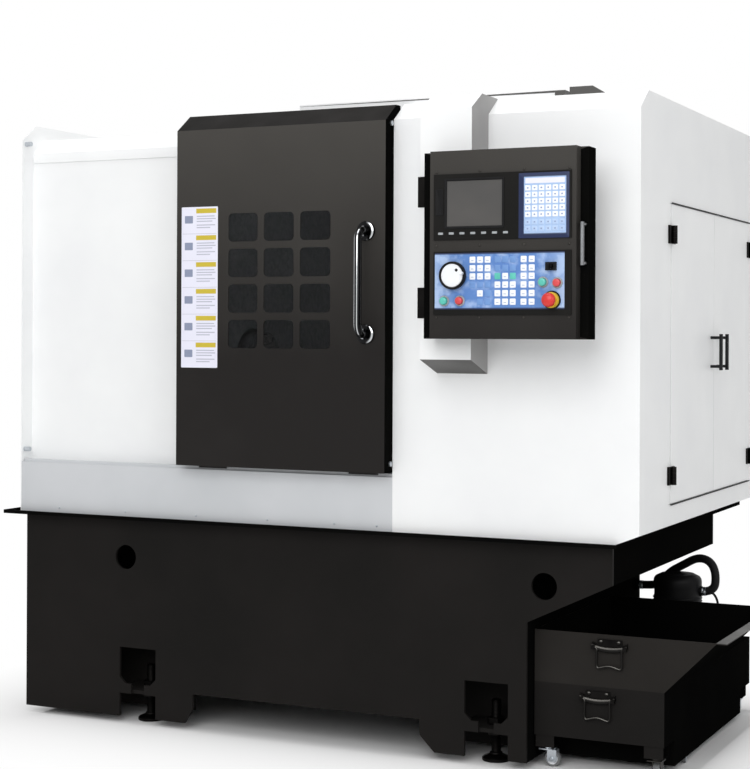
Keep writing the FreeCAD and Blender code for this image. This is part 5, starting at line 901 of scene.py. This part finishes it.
# Button-head screws with a round socket, along the edges of both units.
screw = turned([(3.6, 0), (3.6, 0.5), (3.3, 1.3), (2.6, 1.9), (1.7, 2.1), (1.6, 0.9), (0, 0.8)], 24)
box_screws = [
    on("front", screw, column, shell_face, high)
    for high in (1750, 1540, 1336)
    for column in (1640, 1773, 1907, 2040)
]
piece("control_box_screws", "swing_box", blackened_steel_and_painted_shade, *box_screws)

# Push buttons: a domed cap with a rounded rim, set at cap_face, in a bezel with a bevelled front.
cap_face = -259.5
button_cap = turned([(9.6, -12), (10.6, -12), (10.8, 0.5), (10.2, 1.9), (8.6, 2.8), (5, 3.2), (0, 3.3)])
bezel = turned(
    [(11.6, 0), (15.5, 0), (15.5, 2.5), (14.6, 4.6), (13.2, 5.6), (11.8, 5.6), (11.4, 4.6), (11.4, 1)]
)
buttons = (
    ("start_button", "start_key", green_abs, 1668, 1383),
    ("feed_hold_button", "hold_key", red_abs, 1716, 1383),
    ("power_on_button", "power_on_key", green_abs, 1966, 1434),
    ("power_off_button", "power_off_key", red_abs, 2008, 1432),
)
for node, body, cap_finish, from_left, high in buttons:
    shape = on("front", button_cap, from_left, cap_face, high)
    piece(f"{node}_cap", body, cap_finish, shape, stands_for=[node])
piece(
    "button_bezels",
    "swing_box",
    grey_polyamide,
    *[on("front", bezel, from_left, film_face, high) for _, _, _, from_left, high in buttons],
)

# The stop button: a mushroom head whose rim overhangs its stem.
stop_x, stop_z = 1992.0, 1384.0
stem = [(0, 0), (9.5, 0), (9.5, 19)]
head = [(12, 21), (17, 23.5), (19.6, 26.5), (20, 30), (19.2, 34), (17, 37.5), (13, 40.2), (7, 42), (0, 42.6)]
mushroom = on("front", turned([*stem, *head]), stop_x, film_face - 0.4, stop_z)
piece("estop_head", "stop_key", stop_red_abs, mushroom, stands_for=["estop_button"])
stop_base = turned([(22.6, 0), (26, 0), (26, 2.2), (25, 3.2), (22.6, 3.2)])
piece("estop_base", "swing_box", black_polyamide, on("front", stop_base, stop_x, film_face, stop_z))

# The handwheel: a black ring, a white disc with a finger dimple, and a white knob on the ring.
wheel_x, wheel_z = 1697.0, 1455.0
inner_edge = [(33.6, 3), (33.6, 16), (34.2, 17.5), (35.4, 18.9)]
outer_edge = [(37.6, 18.9), (39.4, 17.4), (40, 14), (40, 6), (38.6, 3.4), (33.6, 3)]
ring = on("front", turned([*inner_edge, *outer_edge], 72), wheel_x, film_face, wheel_z)
piece("handwheel_ring", "dial", black_polyamide, ring, stands_for=["handwheel"])
disc = turned([(0, 2), (33.3, 2), (33.3, 14.4), (32.4, 15.8), (30, 16.4), (16, 15.6), (0, 15.2)], 72)
piece("handwheel_disc", "dial", white_abs, on("front", disc, wheel_x, film_face, wheel_z))
dimple = turned([(4.6, 15.0), (4.4, 16.3), (3.8, 16.6), (3.2, 16.2), (2, 16.0), (0, 15.9)], 32)
piece("handwheel_dimple", "dial", black_polyamide, on("front", dimple, wheel_x + 14, film_face, wheel_z + 15))
knob = turned([(4.4, 16), (4.4, 24), (5.4, 26), (5.6, 30), (4.6, 33.4), (2.4, 35), (0, 35.3)], 32)
piece("handwheel_knob", "dial", white_abs, on("front", knob, wheel_x + 33, film_face, wheel_z + 6))

# The key lock: a blackened barrel and a key with a flat bow.
barrel = turned([(8, -4), (8, 12.6), (7.2, 13.6), (5, 13.8), (0, 13.4)], 32)
lock_x, lock_z = 1990.0, 1478.0
lock_barrel = on("front", barrel, lock_x, -256, lock_z)
piece("key_barrel", "key", dull_black_steel, lock_barrel, stands_for=["key_switch"])
key_bow = plate(13, 14, 5, [(0.7, -1.2), (0, -0.6), (0, 0.6), (0.7, 1.2)])
piece("key_bow", "key", black_polyamide, on("right", key_bow, lock_x, -270.5, lock_z))


# ------------------------------------------------------------------ enclosure

piece(
    "lower_front_screws",
    "machine",
    zinc_plate,
    *[on("front", screw, from_left, 0, 700) for from_left in (160, 423, 695, 957, 1194, 1340)],
)
# A dark strip along the raised roof box's front edge, which thins out towards its left end: a painted shadow
# line along that edge.
shadow_line_length, shadow_line_least, shadow_line_growth = 880, 0.3, 2.7
along = np.linspace(0, 1, 25)
shadow_line_path = spot(1000, 124, 2017.5) + shadow_line_length * MM * along[:, None] * X
shadow_line = swept(shadow_line_path, Y, (shadow_line_least + shadow_line_growth * along) * MM, 12, 0.5)
piece("roof_edge_shadow_line", "machine", slate_coat_and_painted_light, shadow_line)
# Dark strips in the rubber finish along the top and bottom gaps of the cabinet's leaves: painted shade in
# those gaps.
gap_strip = plate(1012, 4.5, 1, [(0, 0), (0, 0.8), (0.5, 1.2)])
piece(
    "cabinet_gap_shade_strips",
    "machine",
    nitrile_rubber,
    *[on("right", gap_strip, 2175, 812, high) for high in (1687.5, 776.5)],
)
# The work light on the work space's left wall: a zinc-plated case with an opal front.
light_place = (658.5, 250, 1800)
light_case = plate(34, 60, 6, [(0, 0), (0, 20), (2, 24)])
light_front = plate(26, 50, 5, [(0, 23.8), (0, 25.5), (1.5, 26.5)])
piece("work_light_channel", "machine", zinc_plate, on("right", light_case, *light_place))
piece("work_light_front", "machine", diode_diffuser, on("right", light_front, *light_place))
# Socket screws on the chuck's face between its jaws, round the spindle's axis.
socket = turned([(9, 0), (9, 6), (8, 7), (4.6, 7), (4.6, 2), (0, 2)], 24)
chuck_face, axis_back, axis_high, screw_circle = 710.0, 429.9, 1189.6, 74.0
chuck_screws = [
    on(
        "right",
        socket,
        chuck_face,
        axis_back + screw_circle * math.cos(angle),
        axis_high + screw_circle * math.sin(angle),
    )
    for angle in np.radians([-90, 30, 150])
]
piece("chuck_face_screws", "spindle_unit", blackened_steel_and_painted_shade, *chuck_screws)


# ------------------------------------------------------------------ levelling feet

foot_columns, foot_rows = (460.0, 1694.0), (105.0, 1082.0)
feet = [(from_left, back) for from_left in foot_columns for back in foot_rows]
foot_rim = [(0, 0), (40, 0), (42.6, 1.5), (43, 5), (42.4, 9)]
foot_dome = [(38, 13), (28, 17), (20, 21), (19, 25), (16, 26.5), (0, 26.5)]
foot_pad = turned([*foot_rim, *foot_dome], 56)
# The stud's thread: a crest and a root in turn, half a pitch apart.
crest, thread_depth, stud_low, thread_length, half_pitch = 14.9, 1.1, 25, 158.1, 2.0
rises = np.arange(0, thread_length, half_pitch)
thread = [(crest - thread_depth * (step % 2), stud_low + rise) for step, rise in enumerate(rises)]
stud = turned([(0, stud_low), *thread, (12, 184.5), (0, 185)], 28)
foot_nut = hexagon(50, 20, 2.0)
pads = [on("top", foot_pad, *foot, 0) for foot in feet]
piece("foot_pads", "machine", dull_black_steel, *pads, stands_for=["leveling_feet"])
piece("foot_studs", "machine", dull_black_steel, *[on("top", stud, *foot, 0) for foot in feet])
nuts = [on("top", foot_nut, *foot, level) for foot in feet for level in (77.7, 110.3)]
piece("foot_nuts", "machine", dull_black_steel, *nuts)
# A sheet behind each foot closes the pocket that its window opens into.
pocket_back = plate(330, 300, 3, [(0, 0), (0, 5)])
backs = [
    on(face, pocket_back, from_left - 40, back, 178)
    for from_left in foot_columns
    for face, back in (("front", 186), ("rear", 1001))
]
piece("foot_pocket_backs", "machine", charcoal_powder_coat, *backs)


# ------------------------------------------------------------------ coolant cart

# Drop handles: a wire loop whose bottom dips to both corners, under a bowed bracket with two domed rivets.
across = np.linspace(-1, 1, 33)
wire_side = np.array(
    [(-50, 0, 0), (-43, 0, 0), (-39.5, 0, -3), (-38, 0, -10), (-38.6, 0, -30), (-39, 0, -48)]
    + [(-38.6, 0, -55), (-36, 0, -60)]
)
wire_bottom = np.stack([38 * across, 0 * across, -57.5 + 3.6 * np.cos(np.pi * across)], axis=-1)[2:-2]
wire = np.concatenate([wire_side, wire_bottom, wire_side[::-1] * [-1, 1, 1]])
bow = np.stack([54 * across, 0 * across, -6.5 + 9.0 * across**2], axis=-1)
bow_radius = 8.2 - 2.2 * across**2
rivet = turned([(6.4, 0), (6.2, 1.6), (5.0, 3.2), (2.8, 4.1), (0, 4.4)], 32)
for label, body, holder, middle, high in (
    ("tank", "lower_bail", "cart", 2024.0, 220.0),
    ("tray", "upper_bail", "chip_drawer", 2060.0, 374.0),
):
    loop = swept(wire * MM + spot(middle, 68, high), Y, 3.4 * MM, 16)
    bracket = swept(bow * MM + spot(middle, 71.5, high), Y, bow_radius * MM, 20, 0.7)
    rivets = [on("front", rivet, middle + offset, 74, high + 15.5) for offset in (-27, 27)]
    piece(f"{label}_bail_loop", body, drop_handle_steel, loop, stands_for=[f"{label}_bail"], smooth=60)
    piece(f"{label}_bail_bracket", holder, drop_handle_steel, bracket)
    piece(f"{label}_bail_rivets", holder, drop_handle_steel, *rivets)

# Caster wheels: a tyre with rounded shoulders on a grooved hub. One axle nut shows, at the front.
tyre_half = [(24, 5), (23, 8.4), (20.5, 9.6), (17, 8.5)]
hub_half = [(17, 8.6), (15.4, 8), (14.5, 4.5), (8, 6), (7.5, 9.4), (4.4, 9)]


def both_halves(profile):
    """A closed profile from its upper half: first the same points with their heights turned over."""
    lower = [(radius, -height) for radius, height in reversed(profile)]
    return [*lower, *profile, lower[0]]


wheel_middle = 24.0
tyre, hub = turned(both_halves(tyre_half), 56), turned(both_halves(hub_half), 56)
axle_nut = turned([(0, 0), (6, 0), (6, 2.2), (4.6, 3.4), (0, 3.6)], 24)
for count, face, from_left, back in (
    (1, "front", 1874, 111),
    (2, "right", 2191, 127),
    (3, "right", 1858, 1079),
    (4, "right", 2191, 1079),
):
    centre = (from_left, back, wheel_middle)
    node, wheel = f"caster_wheel_{count}", f"wheel_{count}"
    piece(f"caster_tyre_{count}", wheel, caster_rubber, on(face, tyre, *centre), stands_for=[node])
    piece(f"caster_hub_{count}", wheel, white_abs, on(face, hub, *centre))
piece("caster_axle_nut", "cart", zinc_plate, on("front", axle_nut, 1874, 97.6, wheel_middle))

# Two low rollers under the tank, each between two small cheeks.
roller = turned(both_halves([(9.5, 5), (8.6, 6), (2, 6)]), 40)
cheek = plate(16, 16, 6, [(0, 0), (0, 1.6)])
roller_places, roller_back = (1843, 2214), 325
rollers = [on("right", roller, from_left, roller_back, 9.7) for from_left in roller_places]
cheeks = [
    on("right", cheek, from_left + side, roller_back, 13)
    for from_left in roller_places
    for side in (-8.4, 6.8)
]
piece("tank_rollers", "cart", caster_rubber, *rollers)
piece("tank_roller_brackets", "cart", zinc_plate, *cheeks)

# The pump's motor: cooling ribs round its barrel, and a fan cover with a rounded top.
ribs = [(79.5 + 2.5 * (step % 4 < 2), level) for step, level in enumerate(np.arange(316, 416, 2.5))]
barrel = turned([(76, 314), *ribs, (76, 416)], 72)
cover_edge = [(77, 446), (80.5, 446), (80.5, 462), (79, 470)]
cover_top = [(74, 478), (62, 484), (40, 487), (20, 487.6), (0, 487.7)]
fan_cover = turned([*cover_edge, *cover_top], 72)
for name, shape in (("pump_motor_ribs", barrel), ("pump_fan_cover", fan_cover)):
    piece(name, "cart", black_motor_enamel, on("top", shape, pump_from_left, pump_back, 0))


# ------------------------------------------------------------------ floor, backdrop and lamps


def looked_at(tree):
    """1 for a ray from the camera, a mirror or a pane, and 0 for light on its way to a matt surface."""
    rays = add(tree, "ShaderNodeLightPath").outputs
    seen = rays["Is Camera Ray"]
    for kind in ("Is Glossy Ray", "Is Transmission Ray"):
        seen = add(tree, "ShaderNodeMath", {"operation": "MAXIMUM"}, {0: seen, 1: rays[kind]}).outputs[0]
    return seen


machine_half, white_from, steepness = (1.1, 0.56, 0.0), 0.6, 0.4


def pale_floor():
    """A matt pale floor that fades to plain white. Its share of white is the distance from the machine's
    outline, 0 to 1 over white_from metres, to the power steepness; that distance is the length of what a
    point's place exceeds the outline's half sizes by."""
    material, tree, place = start("pale_studio_floor")
    over = place
    for operation, amount in (("ABSOLUTE", None), ("SUBTRACT", machine_half), ("MAXIMUM", (0, 0, 0))):
        settings = {"operation": operation, **({1: amount} if amount else {})}
        over = add(tree, "ShaderNodeVectorMath", settings, {0: over}).outputs[0]
    distance = add(tree, "ShaderNodeVectorMath", {"operation": "LENGTH"}, {0: over}).outputs["Value"]
    share = add(tree, "ShaderNodeMapRange", {"From Max": white_from}, {"Value": distance}).outputs[0]
    share = add(tree, "ShaderNodeMath", {"operation": "POWER", 1: steepness}, {0: share}).outputs[0]
    seen = looked_at(tree)
    share = add(tree, "ShaderNodeMath", {"operation": "MULTIPLY"}, {0: share, 1: seen}).outputs[0]
    matt = add(tree, "ShaderNodeBsdfDiffuse", {"Color": linear("#F4F4F4")})
    white = add(tree, "ShaderNodeEmission", {"Color": linear("#FFFFFF"), "Strength": 1.0})
    mix = add(tree, "ShaderNodeMixShader", None, {0: share, 1: matt.outputs[0], 2: white.outputs[0]})
    add(tree, "ShaderNodeOutputMaterial", None, {"Surface": mix.outputs[0]})
    return material


floor_half = 14.0
corners = [(-floor_half, -floor_half, 0), (floor_half, -floor_half, 0)]
corners += [(floor_half, floor_half, 0), (-floor_half, floor_half, 0)]
floor_mesh = bpy.data.meshes.new("floor")
floor_mesh.from_pydata(corners, [], [(0, 1, 2, 3)])
floor_mesh.materials.append(pale_floor())
floor = bpy.data.objects.new("floor", floor_mesh)
scene.collection.objects.link(floor)

# The world is a plain studio: white where the camera, a mirror or a pane looks at it, dimmer as a light.
world = bpy.data.worlds.new("studio")
world.use_nodes = True
scene.world = world
sky = world.node_tree
sky.nodes.clear()
as_light = 0.52
level = add(sky, "ShaderNodeMapRange", {"To Min": as_light, "To Max": 1.0}, {"Value": looked_at(sky)})
glow = add(sky, "ShaderNodeBackground", {"Color": linear("#FFFFFF")}, {"Strength": level.outputs[0]})
add(sky, "ShaderNodeOutputWorld", None, {0: glow.outputs[0]})


def lamp(name, place, aim, size, power):
    """A square soft box, size metres wide and of power watts, that faces a point."""
    light = bpy.data.lights.new(name, "AREA")
    light.size = size
    light.energy = power
    thing = bpy.data.objects.new(name, light)
    away = np.array(place, float) - np.array(aim, float)
    across = np.cross(Z, away)
    across /= np.linalg.norm(across)
    away /= np.linalg.norm(away)
    up = np.cross(away, across)
    matrix = np.eye(4)
    matrix[:3] = np.stack([across, up, away, place], axis=1)
    thing.matrix_world = matrix.T.tolist()
    scene.collection.objects.link(thing)


lamp("key_softbox", (1.2, -6.2, 3.8), (0.0, 0, 1.1), 4.0, 168)
lamp("fill_softbox", (4.8, -3.2, 2.8), (0.6, 0.2, 1.0), 3.0, 42)
lamp("top_softbox", (0.2, -0.8, 5.2), (0, 0, 1.0), 3.4, 60)
